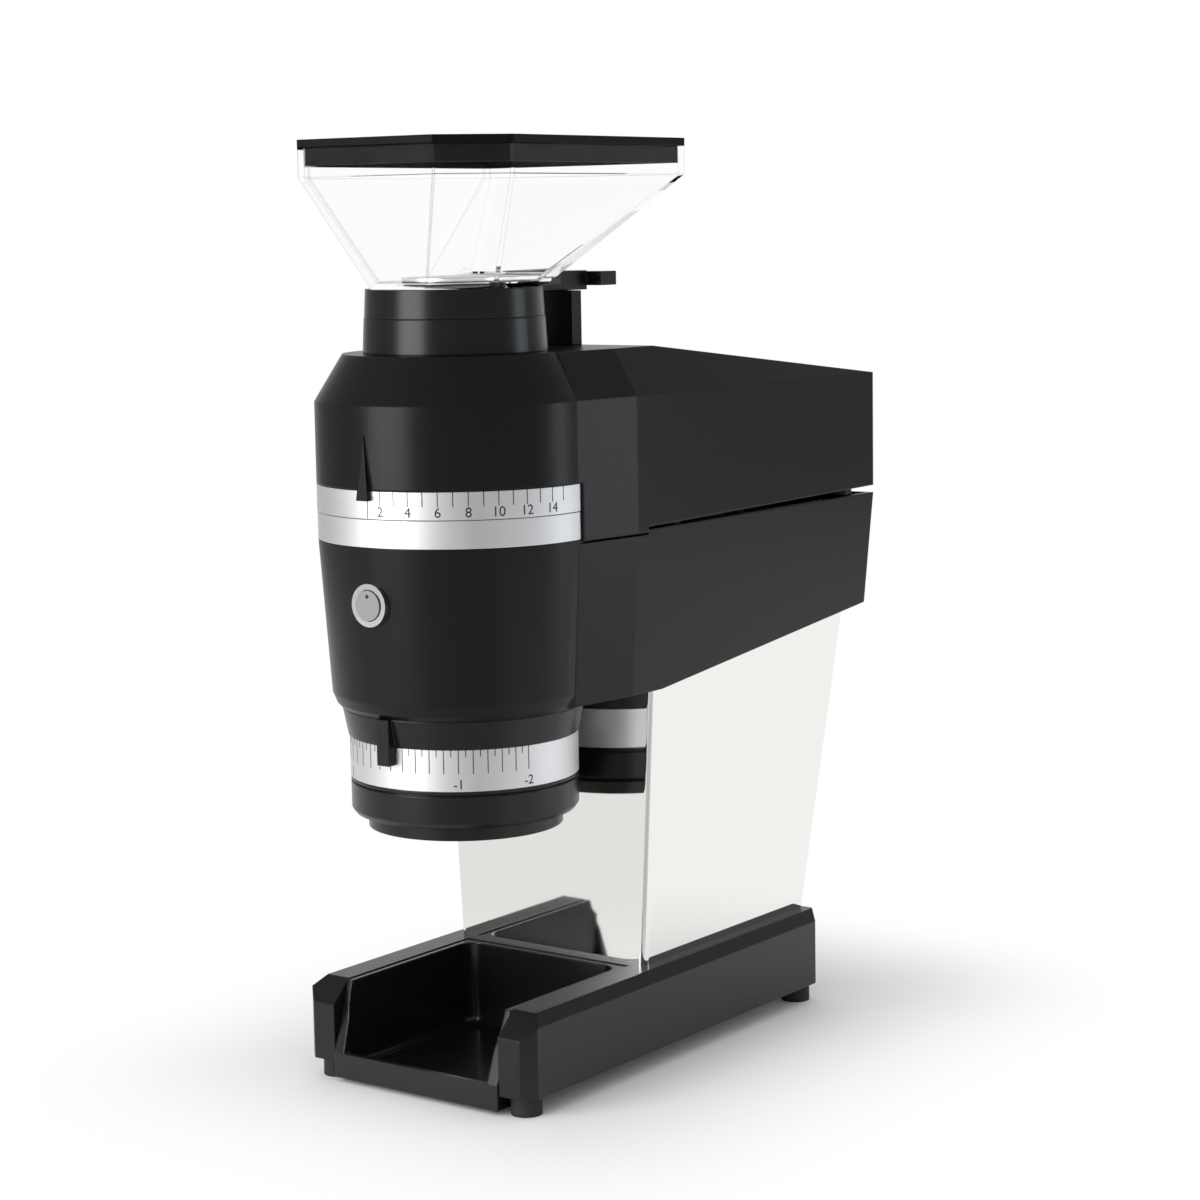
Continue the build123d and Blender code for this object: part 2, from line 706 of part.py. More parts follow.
with BuildPart() as power_inlet:
    with BuildSketch(INLET_PLANE):
        Rectangle(INLET_W, INLET_H)
    extrude(amount=-INLET_DEPTH)
    with BuildSketch(INLET_PLANE):
        Rectangle(INLET_W + 2 * INLET_FLANGE, INLET_H + 2 * INLET_FLANGE)
    extrude(amount=INLET_FLANGE_T)
    with BuildSketch(INLET_PLANE.offset(INLET_FLANGE_T)):
        Rectangle(INLET_W - 2 * INLET_WALL, INLET_H - 2 * INLET_WALL)
    extrude(amount=-INLET_RECESS - INLET_FLANGE_T, mode=Mode.SUBTRACT)
    with BuildSketch(INLET_PLANE.offset(-INLET_RECESS)):
        with Locations((-PIN_PITCH, -PIN_W / 2), (0, PIN_W / 2), (PIN_PITCH, -PIN_W / 2)):
            Rectangle(PIN_T, PIN_W)
    extrude(amount=PIN_L)

power_inlet.part.label = "power_inlet"
export_step(power_inlet.part, "parts/power_inlet.step")

# Steel spine from the base deck up to the chassis plate
with BuildPart() as column_spine:
    block(-SPINE_HALF_W, SPINE_HALF_W, SPINE_FRONT, SPINE_FRONT + SPINE_T, BASE_TOP, CHASSIS_LOW)
    block(-SPINE_HALF_W, SPINE_HALF_W, SPINE_FRONT, SPINE_FRONT + SPINE_FOOT, BASE_TOP, BASE_TOP + SPINE_T)

column_spine.part.label = "column_spine"
export_step(column_spine.part, "parts/column_spine.step")

BOARD_SEAT = SPINE_FRONT + SPINE_T + STANDOFF_L
BOARD_MID = (BOARD_LOW + BOARD_HIGH) / 2

with BuildPart() as board_standoffs:
    for post_x in (-BOARD_HALF_W + STANDOFF_INSET, BOARD_HALF_W - STANDOFF_INSET):
        for post_z in (BOARD_LOW + STANDOFF_INSET, BOARD_HIGH - STANDOFF_INSET):
            drum_y(STANDOFF_R, post_x, post_z, SPINE_FRONT + SPINE_T, BOARD_SEAT)

board_standoffs.part.label = "board_standoffs"
export_step(board_standoffs.part, "parts/board_standoffs.step")

with BuildPart() as control_board:
    block(-BOARD_HALF_W, BOARD_HALF_W, BOARD_SEAT, BOARD_SEAT + BOARD_T, BOARD_LOW, BOARD_HIGH)

control_board.part.label = "control_board"
export_step(control_board.part, "parts/control_board.step")

with BuildPart() as board_relay:
    block(
        RELAY_X - RELAY_W / 2,
        RELAY_X + RELAY_W / 2,
        BOARD_SEAT + BOARD_T,
        BOARD_SEAT + BOARD_T + RELAY_T,
        BOARD_MID - RELAY_H / 2,
        BOARD_MID + RELAY_H / 2,
    )

board_relay.part.label = "board_relay"
export_step(board_relay.part, "parts/board_relay.step")

with BuildPart() as board_capacitor:
    drum_y(CAP_R, CAP_X, BOARD_MID, BOARD_SEAT + BOARD_T, BOARD_SEAT + BOARD_T + CAP_L)

board_capacitor.part.label = "board_capacitor"
export_step(board_capacitor.part, "parts/board_capacitor.step")

# Lower housing: drafted arm shell and round barrel
ARM_DROP = (LOWER_TOP_REAR - ARM_LOFT_Z) * HOUSING_DRAFT


def under_cut(lift):
    """Side view of everything below the underside of the arm, lifted by a wall thickness."""
    return [
        (-WIDE, 0),
        (WIDE * 2, 0),
        (WIDE * 2, underside(WIDE * 2) + lift),
        (UNDER_FLAT_END, UNDER_Z + lift),
        (-WIDE, UNDER_Z + lift),
    ]


with BuildPart() as lower_arm_core:
    loft(
        [
            face(level(ARM_LOFT_Z), inset(ARM_PLAN, ARM_DROP + WALL)),
            face(level(LOWER_TOP_REAR), inset(ARM_PLAN, WALL)),
        ],
        ruled=True,
    )
    extrude(face(side(0), under_cut(WALL)), amount=WIDE, both=True, mode=Mode.SUBTRACT)

with BuildPart() as lower_housing:
    loft(
        [
            face(level(ARM_LOFT_Z), inset(ARM_PLAN, ARM_DROP)),
            face(level(LOWER_TOP_REAR), ARM_PLAN),
        ],
        ruled=True,
    )
    extrude(face(side(0), under_cut(0)), amount=WIDE, both=True, mode=Mode.SUBTRACT)
    add(lower_arm_core.part, mode=Mode.SUBTRACT)
    block(-WIDE, WIDE, -WIDE, SEAM_STEP, LOWER_TOP_FRONT, LOWER_TOP_REAR + OVER, Mode.SUBTRACT)
    revolve(
        face(
            PROFILE,
            [
                (0, HOUSING_BOTTOM),
                (HOUSING_LIP_R, HOUSING_BOTTOM),
                (HOUSING_CHAMFER_R, HOUSING_CHAMFER_Z),
                (HOUSING_SKIRT_R, HOUSING_SKIRT_Z),
                (BARREL_TOP_R, BARREL_SEAT_Z),
                (0, BARREL_SEAT_Z),
            ],
        ),
        axis=GRIND_AXIS,
    )
    drum(BARREL_BORE_R - WALL, 0, 0, HOUSING_BOTTOM + HOUSING_FLOOR_T, HOUSING_SKIRT_Z, Mode.SUBTRACT)
    drum(BARREL_BORE_R, 0, 0, HOUSING_SKIRT_Z, BARREL_SEAT_Z + OVER, Mode.SUBTRACT)
    drum(CHAMBER_OUT_R, 0, 0, HOUSING_BOTTOM - OVER, HOUSING_SKIRT_Z, Mode.SUBTRACT)
    for post_x, post_y in POSTS:
        drum(POST_R, post_x, post_y, underside(post_y) + OVER, LOWER_TOP_REAR)
        drum(SCREW_HEAD_R + RUN_GAP, post_x, post_y, UNDER_Z - OVER, COVER_SCREW_SEAT, Mode.SUBTRACT)
        drum(SCREW_R, post_x, post_y, UNDER_Z - OVER, LOWER_TOP_REAR + OVER, Mode.SUBTRACT)
    block(
        -SPINE_HALF_W - OVER,
        SPINE_HALF_W + OVER,
        SPINE_FRONT - OVER,
        SPINE_SLOT_REAR,
        0,
        underside(SPINE_SLOT_REAR) + WALL + OVER,
        Mode.SUBTRACT,
    )
    drum_y(BEZEL_R, 0, BUTTON_Z, -BARREL_R - BEZEL_R, BEZEL_SEAT, Mode.SUBTRACT)
    drum_y(BEZEL_BODY_R, 0, BUTTON_Z, -BARREL_R - BEZEL_R, BEZEL_REAR, Mode.SUBTRACT)

lower_housing.part.label = "lower_housing"
export_step(lower_housing.part, "parts/lower_housing.step")

with BuildPart() as cover_screws:
    for post_x, post_y in POSTS:
        drum(SCREW_HEAD_R, post_x, post_y, COVER_SCREW_SEAT - SCREW_HEAD_H, COVER_SCREW_SEAT)
        drum(SCREW_R, post_x, post_y, COVER_SCREW_SEAT - SCREW_HEAD_H, COVER_SCREW_TOP)

cover_screws.part.label = "cover_screws"
export_step(cover_screws.part, "parts/cover_screws.step")

# Upper cover: barrel top with a cone, arm with a hipped roof
ROOF_DROP = (EAVES_Z - ROOF_Z) / (ARM_REAR - ROOF_FLAT_END)


def roof_cut(drop):
    """Side view of everything above the rear roof slope, lowered by a wall thickness."""
    far = ARM_REAR + WIDE
    return [
        (ROOF_FLAT_END, ROOF_Z - drop),
        (far, ROOF_Z - drop + (far - ROOF_FLAT_END) * ROOF_DROP),
        (far, ROOF_Z + WIDE),
        (ROOF_FLAT_END, ROOF_Z + WIDE),
    ]


COVER_CORE_EAVES = EAVES_Z - WALL * math.tan(math.radians(ROOF_TAPER / 2))

with BuildPart() as cover_core:
    extrude(
        face(level(LOWER_TOP_FRONT - WALL), inset(ARM_PLAN, WALL)),
        amount=COVER_CORE_EAVES - LOWER_TOP_FRONT + WALL,
    )
    extrude(
        face(level(COVER_CORE_EAVES), inset(ARM_PLAN, WALL)),
        amount=ROOF_Z - WALL - COVER_CORE_EAVES,
        taper=ROOF_TAPER,
    )
    revolve(
        face(
            PROFILE,
            [
                (0, LOWER_TOP_FRONT - WALL),
                (BARREL_R - WALL, LOWER_TOP_FRONT - WALL),
                (BARREL_R - WALL, COVER_CORE_EAVES),
                (
                    BARREL_R - WALL - (ROOF_Z - WALL - COVER_CORE_EAVES) * ROOF_INSET / ROOF_RISE,
                    ROOF_Z - WALL,
                ),
                (0, ROOF_Z - WALL),
            ],
        ),
        axis=GRIND_AXIS,
    )
    extrude(face(side(0), roof_cut(WALL)), amount=WIDE, both=True, mode=Mode.SUBTRACT)

with BuildPart() as upper_cover:
    extrude(face(level(COVER_EDGE_FRONT), ARM_PLAN), amount=EAVES_Z - COVER_EDGE_FRONT)
    drum(BARREL_R + RUN_GAP, 0, 0, COVER_EDGE_FRONT - OVER, COVER_BARREL_Z, Mode.SUBTRACT)
    extrude(face(level(EAVES_Z), ARM_PLAN), amount=ROOF_RISE, taper=ROOF_TAPER)
    revolve(
        face(
            PROFILE,
            [
                (0, COVER_BARREL_Z),
                (BARREL_R, COVER_BARREL_Z),
                (BARREL_R, EAVES_Z),
                (BARREL_R - ROOF_INSET, ROOF_Z),
                (0, ROOF_Z),
            ],
        ),
        axis=GRIND_AXIS,
    )
    extrude(face(side(0), roof_cut(0)), amount=WIDE, both=True, mode=Mode.SUBTRACT)
    add(cover_core.part, mode=Mode.SUBTRACT)
    extrude(
        face(
            side(0),
            [
                (SEAM_STEP, COVER_EDGE_FRONT - OVER),
                (ARM_REAR + OVER, COVER_EDGE_FRONT - OVER),
                (ARM_REAR + OVER, COVER_EDGE_REAR),
                (SEAM_STEP, COVER_EDGE_STEP),
            ],
        ),
        amount=WIDE,
        both=True,
        mode=Mode.SUBTRACT,
    )
    for post_x, post_y in POSTS:
        drum(COVER_POST_R, post_x, post_y, LOWER_TOP_REAR, COVER_POST_TOP)
        drum(SCREW_R, post_x, post_y, LOWER_TOP_REAR - OVER, COVER_SCREW_TOP, Mode.SUBTRACT)
    drum(FEED_R + FEED_T, 0, 0, FEED_LOW, ROOF_Z + OVER, Mode.SUBTRACT)
    extrude(
        face(
            front(-BARREL_R - COARSE_POINTER_PROUD),
            [
                (-POINTER_HALF_W, POINTER_LOW_Z),
                (POINTER_HALF_W, POINTER_LOW_Z),
                (0, POINTER_TIP_Z),
            ],
        ),
        amount=-(COARSE_POINTER_PROUD + WALL / 2),
    )
    extrude(
        face(
            side(0),
            [
                (-BARREL_R - COARSE_POINTER_PROUD, POINTER_LOW_Z),
                (-BARREL_R - POINTER_TIP_PROUD, POINTER_TIP_Z),
                (-BARREL_R - WALL, POINTER_TIP_Z + OVER),
                (-BARREL_R - WIDE, POINTER_TIP_Z + OVER),
                (-BARREL_R - WIDE, POINTER_LOW_Z),
            ],
        ),
        amount=POINTER_HALF_W + OVER,
        both=True,
        mode=Mode.SUBTRACT,
    )
    block(
        -POINTER_HALF_W - OVER,
        POINTER_HALF_W + OVER,
        -BARREL_R - RUN_GAP,
        -BARREL_R + WALL,
        POINTER_LOW_Z - OVER,
        COVER_BARREL_Z,
        Mode.SUBTRACT,
    )

upper_cover.part.label = "upper_cover"
export_step(upper_cover.part, "parts/upper_cover.step")

# Silver rings round the barrel
with BuildPart() as trim_ring:
    drum(BARREL_TOP_R, 0, 0, BARREL_SEAT_Z, TRIM_TOP)
    drum(BARREL_BORE_R, 0, 0, BARREL_SEAT_Z, TRIM_TOP, Mode.SUBTRACT)

trim_ring.part.label = "trim_ring"
export_step(trim_ring.part, "parts/trim_ring.step")

with BuildPart() as coarse_dial:
    drum(BARREL_R, 0, 0, TRIM_TOP + RING_GAP, DIAL_TOP)
    drum(DIAL_BAND_R, 0, 0, TRIM_TOP, DIAL_WEB_LOW, Mode.SUBTRACT)
    drum(DIAL_BAND_R, 0, 0, DIAL_WEB_HIGH, DIAL_TOP, Mode.SUBTRACT)
    drum(CHAMBER_R, 0, 0, TRIM_TOP, DIAL_TOP, Mode.SUBTRACT)

coarse_dial.part.label = "coarse_dial"
export_step(coarse_dial.part, "parts/coarse_dial.step")

# Fixed collar with the fine pointer, and the chamber sleeve it holds
with BuildPart() as index_collar:
    revolve(
        face(
            PROFILE,
            [
                (CHAMBER_OUT_R, COLLAR_LOW),
                (COLLAR_LOW_R, COLLAR_LOW),
                (HOUSING_LIP_R, HOUSING_BOTTOM),
                (CHAMBER_OUT_R, HOUSING_BOTTOM),
            ],
        ),
        axis=GRIND_AXIS,
    )
    block(-INDEX_HALF_W, INDEX_HALF_W, -INDEX_R, -COLLAR_LOW_R + WALL, COLLAR_LOW, HOUSING_BOTTOM)
    block(-INDEX_HALF_W, INDEX_HALF_W, -INDEX_R, -FINE_DIAL_R - RUN_GAP, INDEX_LOW, HOUSING_BOTTOM)

index_collar.part.label = "index_collar"
export_step(index_collar.part, "parts/index_collar.step")

with BuildPart() as chamber_sleeve:
    drum(CHAMBER_OUT_R, 0, 0, COLLAR_LOW, CHAMBER_TOP)
    drum(BARREL_BORE_R, 0, 0, CHAMBER_TOP - CHAMBER_FLANGE_T, CHAMBER_TOP)
    drum(CHAMBER_R, 0, 0, COLLAR_LOW, CHAMBER_TOP, Mode.SUBTRACT)

chamber_sleeve.part.label = "chamber_sleeve"
export_step(chamber_sleeve.part, "parts/chamber_sleeve.step")

# Fine ring group: grip ring with its threaded sleeve, dial and spout
with BuildPart() as grip_ring:
    revolve(
        face(
            PROFILE,
            [
                (FINE_BORE_R, GRIP_LOW),
                (GRIP_LOW_R, GRIP_LOW),
                (GRIP_R, GRIP_CHAMFER_Z),
                (GRIP_R, GRIP_GROOVE_Z),
                (GRIP_R - GRIP_GROOVE_DEPTH, GRIP_GROOVE_Z),
                (GRIP_R - GRIP_GROOVE_DEPTH, GRIP_FLANGE_Z),
                (GRIP_R, GRIP_FLANGE_Z),
                (GRIP_R, GRIP_TOP),
                (FINE_SLEEVE_R, GRIP_TOP),
                (FINE_SLEEVE_R, SLEEVE_TOP),
                (FINE_BORE_R, SLEEVE_TOP),
            ],
        ),
        axis=GRIND_AXIS,
    )

grip_ring.part.label = "grip_ring"
export_step(grip_ring.part, "parts/grip_ring.step")

with BuildPart() as fine_dial:
    drum(FINE_DIAL_R, 0, 0, GRIP_TOP, FINE_DIAL_TOP)
    drum(FINE_DIAL_BORE_R, 0, 0, GRIP_TOP, FINE_DIAL_TOP, Mode.SUBTRACT)

fine_dial.part.label = "fine_dial"
export_step(fine_dial.part, "parts/fine_dial.step")

with BuildPart() as spout:
    revolve(
        face(
            PROFILE,
            [
                (SPOUT_MOUTH_R, SPOUT_LOW),
                (SPOUT_R, SPOUT_LOW),
                (SPOUT_R, GRIP_LOW),
                (FINE_BORE_R, GRIP_LOW),
            ],
        ),
        axis=GRIND_AXIS,
    )

spout.part.label = "spout"
export_step(spout.part, "parts/spout.step")

# Burrs, shaft and lower bearing
with BuildPart() as bearing_bridge:
    drum(FINE_SLEEVE_R, 0, 0, BRIDGE_LOW, BRIDGE_TOP)
    drum(BRIDGE_RIM_R, 0, 0, BRIDGE_LOW, BRIDGE_TOP, Mode.SUBTRACT)
    drum(HUB_R, 0, 0, BRIDGE_LOW, BRIDGE_TOP)
    spokes(BEARING_R + OVER, BRIDGE_RIM_R + OVER, SPOKE_W, BRIDGE_LOW, BRIDGE_TOP, SPOKES)
    drum(BEARING_R, 0, 0, BRIDGE_LOW, BRIDGE_TOP, Mode.SUBTRACT)

bearing_bridge.part.label = "bearing_bridge"
export_step(bearing_bridge.part, "parts/bearing_bridge.step")

with BuildPart() as lower_bearing:
    drum(BEARING_R, 0, 0, BRIDGE_LOW, BRIDGE_TOP)
    drum(SHAFT_R + FIT_GAP, 0, 0, BRIDGE_LOW, BRIDGE_TOP, Mode.SUBTRACT)

lower_bearing.part.label = "lower_bearing"
export_step(lower_bearing.part, "parts/lower_bearing.step")

with BuildPart() as burr_shaft:
    drum(SHAFT_R, 0, 0, SHAFT_LOW, SHAFT_TOP)
    drum(SHOULDER_R, 0, 0, BRIDGE_TOP, BURR_LOW)

burr_shaft.part.label = "burr_shaft"
export_step(burr_shaft.part, "parts/burr_shaft.step")

with BuildPart() as inner_burr:
    revolve(
        face(
            PROFILE,
            [
                (SHAFT_R, BURR_LOW),
                (INNER_BURR_LOW_R, BURR_LOW),
                (INNER_BURR_TOP_R, BURR_TOP),
                (SHAFT_R, BURR_TOP),
            ],
        ),
        axis=GRIND_AXIS,
    )
    FLUTE_LEAN = math.degrees(math.atan((INNER_BURR_LOW_R - INNER_BURR_TOP_R) / (BURR_TOP - BURR_LOW)))
    FLUTE_MID_R = (INNER_BURR_LOW_R + INNER_BURR_TOP_R) / 2
    for k in range(FLUTES):
        turn = 360 * k / FLUTES
        flute_x = FLUTE_MID_R * math.cos(math.radians(turn))
        flute_y = AXIS_Y + FLUTE_MID_R * math.sin(math.radians(turn))
        with Locations(Location((flute_x, flute_y, (BURR_LOW + BURR_TOP) / 2), (0, 0, turn))):
            with Locations(Location((0, 0, 0), (0, -FLUTE_LEAN, 0))):
                Box(FLUTE_DEPTH, FLUTE_W, 2 * (BURR_TOP - BURR_LOW), mode=Mode.SUBTRACT)

inner_burr.part.label = "inner_burr"
export_step(inner_burr.part, "parts/inner_burr.step")


def inner_burr_r(z):
    """Radius of the inner burr cone at height z."""
    share = (z - BURR_LOW) / (BURR_TOP - BURR_LOW)
    return INNER_BURR_LOW_R + (INNER_BURR_TOP_R - INNER_BURR_LOW_R) * share


with BuildPart() as outer_burr:
    revolve(
        face(
            PROFILE,
            [
                (INNER_BURR_LOW_R + BURR_GAP, BURR_LOW),
                (OUTER_BURR_R, BURR_LOW),
                (OUTER_BURR_R, BURR_TOP),
                (OUTER_BURR_MOUTH_R, BURR_TOP),
                (inner_burr_r(BURR_MID_Z) + BURR_MID_GAP, BURR_MID_Z),
            ],
        ),
        axis=GRIND_AXIS,
    )

outer_burr.part.label = "outer_burr"
export_step(outer_burr.part, "parts/outer_burr.step")

with BuildPart() as burr_carrier:
    drum(CARRIER_R, 0, 0, BURR_LOW, CARRIER_TOP)
    drum(OUTER_BURR_R, 0, 0, BURR_LOW, CARRIER_TOP, Mode.SUBTRACT)

burr_carrier.part.label = "burr_carrier"
export_step(burr_carrier.part, "parts/burr_carrier.step")

with BuildPart() as burr_nut:
    with BuildSketch(level(BURR_TOP)):
        RegularPolygon(NUT_R, 6)
        Circle(SHAFT_R, mode=Mode.SUBTRACT)
    extrude(amount=NUT_H)

burr_nut.part.label = "burr_nut"
export_step(burr_nut.part, "parts/burr_nut.step")

with BuildPart() as burr_pulley:
    drum(BURR_PULLEY_R, 0, 0, PULLEY_LOW, PULLEY_LOW + PULLEY_H)
    drum(BURR_PULLEY_R - BURR_PULLEY_RIM, 0, 0, PULLEY_LOW, PULLEY_LOW + PULLEY_H, Mode.SUBTRACT)
    drum(BURR_PULLEY_HUB_R, 0, 0, PULLEY_LOW, PULLEY_LOW + PULLEY_H)
    spokes(
        SHAFT_R + OVER,
        BURR_PULLEY_R - BURR_PULLEY_RIM + OVER,
        BURR_PULLEY_SPOKE_W,
        PULLEY_LOW,
        PULLEY_LOW + PULLEY_H,
        SPOKES,
    )
    drum(SHAFT_R, 0, 0, PULLEY_LOW, PULLEY_LOW + PULLEY_H, Mode.SUBTRACT)

burr_pulley.part.label = "burr_pulley"
export_step(burr_pulley.part, "parts/burr_pulley.step")

# Chassis plate with the upper bearing spider, motor and belt
with BuildPart() as chassis_plate:
    drum(SPIDER_R, 0, 0, CHASSIS_LOW, CHASSIS_TOP)
    drum(SPIDER_RIM_R, 0, 0, CHASSIS_LOW, CHASSIS_TOP, Mode.SUBTRACT)
    drum(HUB_R, 0, 0, CHASSIS_LOW, CHASSIS_TOP)
    spokes(BEARING_R + OVER, SPIDER_RIM_R + OVER, SPOKE_W, CHASSIS_LOW, CHASSIS_TOP, SPOKES)
    drum(BEARING_R, 0, 0, CHASSIS_LOW, CHASSIS_TOP, Mode.SUBTRACT)
    block(
        -CHASSIS_HALF_W, CHASSIS_HALF_W, CHASSIS_FRONT, CHASSIS_REAR, CHASSIS_LOW, CHASSIS_TOP
    )
    drum(MOTOR_SHAFT_HOLE_R, 0, MOTOR_Y, CHASSIS_LOW, CHASSIS_TOP, Mode.SUBTRACT)
    for screw_x in (-MOTOR_SCREW_X, MOTOR_SCREW_X):
        drum(SCREW_R, screw_x, MOTOR_Y, CHASSIS_LOW, CHASSIS_TOP, Mode.SUBTRACT)

chassis_plate.part.label = "chassis_plate"
export_step(chassis_plate.part, "parts/chassis_plate.step")

with BuildPart() as upper_bearing:
    drum(BEARING_R, 0, 0, CHASSIS_LOW, CHASSIS_TOP)
    drum(SHAFT_R + FIT_GAP, 0, 0, CHASSIS_LOW, CHASSIS_TOP, Mode.SUBTRACT)

upper_bearing.part.label = "upper_bearing"
export_step(upper_bearing.part, "parts/upper_bearing.step")

MOTOR_LOW = CHASSIS_LOW - MOTOR_H
MOTOR_MID = (MOTOR_LOW + CHASSIS_LOW) / 2

with BuildPart() as motor_case:
    drum(MOTOR_R, 0, MOTOR_Y, MOTOR_LOW, CHASSIS_LOW)
    drum(MOTOR_R - WALL, 0, MOTOR_Y, MOTOR_LOW + WALL, CHASSIS_LOW - WALL, Mode.SUBTRACT)
    drum(MOTOR_SHAFT_R + FIT_GAP, 0, MOTOR_Y, MOTOR_LOW, CHASSIS_LOW, Mode.SUBTRACT)
    for screw_x in (-MOTOR_SCREW_X, MOTOR_SCREW_X):
        drum(SCREW_R, screw_x, MOTOR_Y, CHASSIS_LOW - MOTOR_SCREW_DEPTH, CHASSIS_LOW, Mode.SUBTRACT)
    for k in range(VENTS):
        turn = 360 * k / VENTS
        vent_x = MOTOR_R * math.cos(math.radians(turn))
        vent_y = AXIS_Y + MOTOR_Y + MOTOR_R * math.sin(math.radians(turn))
        with Locations(Location((vent_x, vent_y, MOTOR_MID), (0, 0, turn))):
            Box(4 * WALL, VENT_W, VENT_H, mode=Mode.SUBTRACT)

motor_case.part.label = "motor_case"
export_step(motor_case.part, "parts/motor_case.step")

with BuildPart() as motor_shaft:
    drum(MOTOR_SHAFT_R, 0, MOTOR_Y, MOTOR_LOW, PULLEY_LOW + PULLEY_H + OVER)

motor_shaft.part.label = "motor_shaft"
export_step(motor_shaft.part, "parts/motor_shaft.step")

with BuildPart() as motor_armature:
    drum(ARMATURE_R, 0, MOTOR_Y, MOTOR_LOW + ARMATURE_MARGIN, CHASSIS_LOW - ARMATURE_MARGIN)
    drum(MOTOR_SHAFT_R, 0, MOTOR_Y, MOTOR_LOW, CHASSIS_LOW, Mode.SUBTRACT)

motor_armature.part.label = "motor_armature"
export_step(motor_armature.part, "parts/motor_armature.step")

with BuildPart() as motor_pulley:
    drum(MOTOR_PULLEY_R, 0, MOTOR_Y, PULLEY_LOW, PULLEY_LOW + PULLEY_H)
    drum(MOTOR_SHAFT_R, 0, MOTOR_Y, PULLEY_LOW, PULLEY_LOW + PULLEY_H, Mode.SUBTRACT)

motor_pulley.part.label = "motor_pulley"
export_step(motor_pulley.part, "parts/motor_pulley.step")

with BuildPart() as motor_screws:
    for screw_x in (-MOTOR_SCREW_X, MOTOR_SCREW_X):
        drum(SCREW_R, screw_x, MOTOR_Y, CHASSIS_LOW - MOTOR_SCREW_DEPTH, CHASSIS_TOP)
        drum(SCREW_HEAD_R, screw_x, MOTOR_Y, CHASSIS_TOP, CHASSIS_TOP + SCREW_HEAD_H)

motor_screws.part.label = "motor_screws"
export_step(motor_screws.part, "parts/motor_screws.step")

with BuildPart() as drive_belt:
    with BuildSketch(level(PULLEY_LOW + BELT_MARGIN)):
        with BuildSketch(mode=Mode.PRIVATE) as belt_inside:
            Circle(BURR_PULLEY_R + RUN_GAP)
            with Locations((0, MOTOR_Y)):
                Circle(MOTOR_PULLEY_R + RUN_GAP)
            make_hull()
        Circle(BURR_PULLEY_R + RUN_GAP + BELT_T)
        with Locations((0, MOTOR_Y)):
            Circle(MOTOR_PULLEY_R + RUN_GAP + BELT_T)
        make_hull()
        add(belt_inside.sketch_local, mode=Mode.SUBTRACT)
    extrude(amount=PULLEY_H - 2 * BELT_MARGIN)

drive_belt.part.label = "drive_belt"
export_step(drive_belt.part, "parts/drive_belt.step")

# Push button
with BuildPart() as button_bezel:
    drum_y(BEZEL_R, 0, BUTTON_Z, BEZEL_FRONT, BEZEL_SEAT)
    drum_y(BEZEL_BODY_R, 0, BUTTON_Z, BEZEL_SEAT, BEZEL_REAR)
    drum_y(CAP_BUTTON_R + RUN_GAP, 0, BUTTON_Z, BEZEL_FRONT, BEZEL_REAR, Mode.SUBTRACT)

button_bezel.part.label = "button_bezel"
export_step(button_bezel.part, "parts/button_bezel.step")

with BuildPart() as button_cap:
    drum_y(CAP_BUTTON_R, 0, BUTTON_Z, CAP_FRONT, CAP_REAR)
    drum_y(CAP_STEM_R, 0, BUTTON_Z, CAP_REAR, CAP_STEM_REAR)

button_cap.part.label = "button_cap"
export_step(button_cap.part, "parts/button_cap.step")

with BuildPart() as button_switch:
    block(
        -SWITCH_HALF,
        SWITCH_HALF,
        BEZEL_REAR,
        SWITCH_REAR,
        BUTTON_Z - SWITCH_HALF,
        BUTTON_Z + SWITCH_HALF,
    )
    block(
        -BEZEL_BODY_R,
        BEZEL_BODY_R,
        BEZEL_REAR,
        BEZEL_REAR + WALL,
        BUTTON_Z - SWITCH_HALF,
        BUTTON_Z + SWITCH_HALF,
    )
    drum_y(CAP_STEM_R + RUN_GAP, 0, BUTTON_Z, BEZEL_REAR, SWITCH_HOLE_REAR, Mode.SUBTRACT)

button_switch.part.label = "button_switch"
export_step(button_switch.part, "parts/button_switch.step")

# Neck rings and latch post
with BuildPart() as neck_lower_ring:
    revolve(
        face(
            PROFILE,
            [
                (FEED_R, FEED_LOW),
                (FEED_R + FEED_T, FEED_LOW),
                (FEED_R + FEED_T, ROOF_Z),
                (NECK_LOW_R, ROOF_Z),
                (NECK_MID_R, NECK_MID_Z),
                (NECK_BORE_R, NECK_MID_Z),
                (FEED_R, ROOF_Z),
            ],
        ),
        axis=GRIND_AXIS,
    )

neck_lower_ring.part.label = "neck_lower_ring"
export_step(neck_lower_ring.part, "parts/neck_lower_ring.step")

with BuildPart() as neck_upper_ring:
    revolve(
        face(
            PROFILE,
            [
                (NECK_BORE_R, NECK_MID_Z),
                (NECK_MID_R - NECK_STEP, NECK_MID_Z),
                (NECK_TOP_R, NECK_TOP),
                (NECK_BORE_R, NECK_TOP),
            ],
        ),
        axis=GRIND_AXIS,
    )

neck_upper_ring.part.label = "neck_upper_ring"
export_step(neck_upper_ring.part, "parts/neck_upper_ring.step")

with BuildPart() as latch_post:
    block(-LATCH_HALF_W, LATCH_HALF_W, LATCH_FRONT, LATCH_REAR, ROOF_Z, LATCH_TOP)

latch_post.part.label = "latch_post"
export_step(latch_post.part, "parts/latch_post.step")

# Hopper: clear faceted bin with a spigot, a gate guide and a slot
with BuildPart() as hopper_core:
    loft(
        [
            face(level(GATE_FLOOR), inset(THROAT_PLAN, HOPPER_WALL)),
            face(level(HOPPER_BREAK_Z), inset(HOPPER_PLAN, HOPPER_WALL)),
        ],
        ruled=True,
    )
    extrude(
        face(level(HOPPER_BREAK_Z), inset(HOPPER_PLAN, HOPPER_WALL)),
        amount=HOPPER_TOP - HOPPER_BREAK_Z,
    )

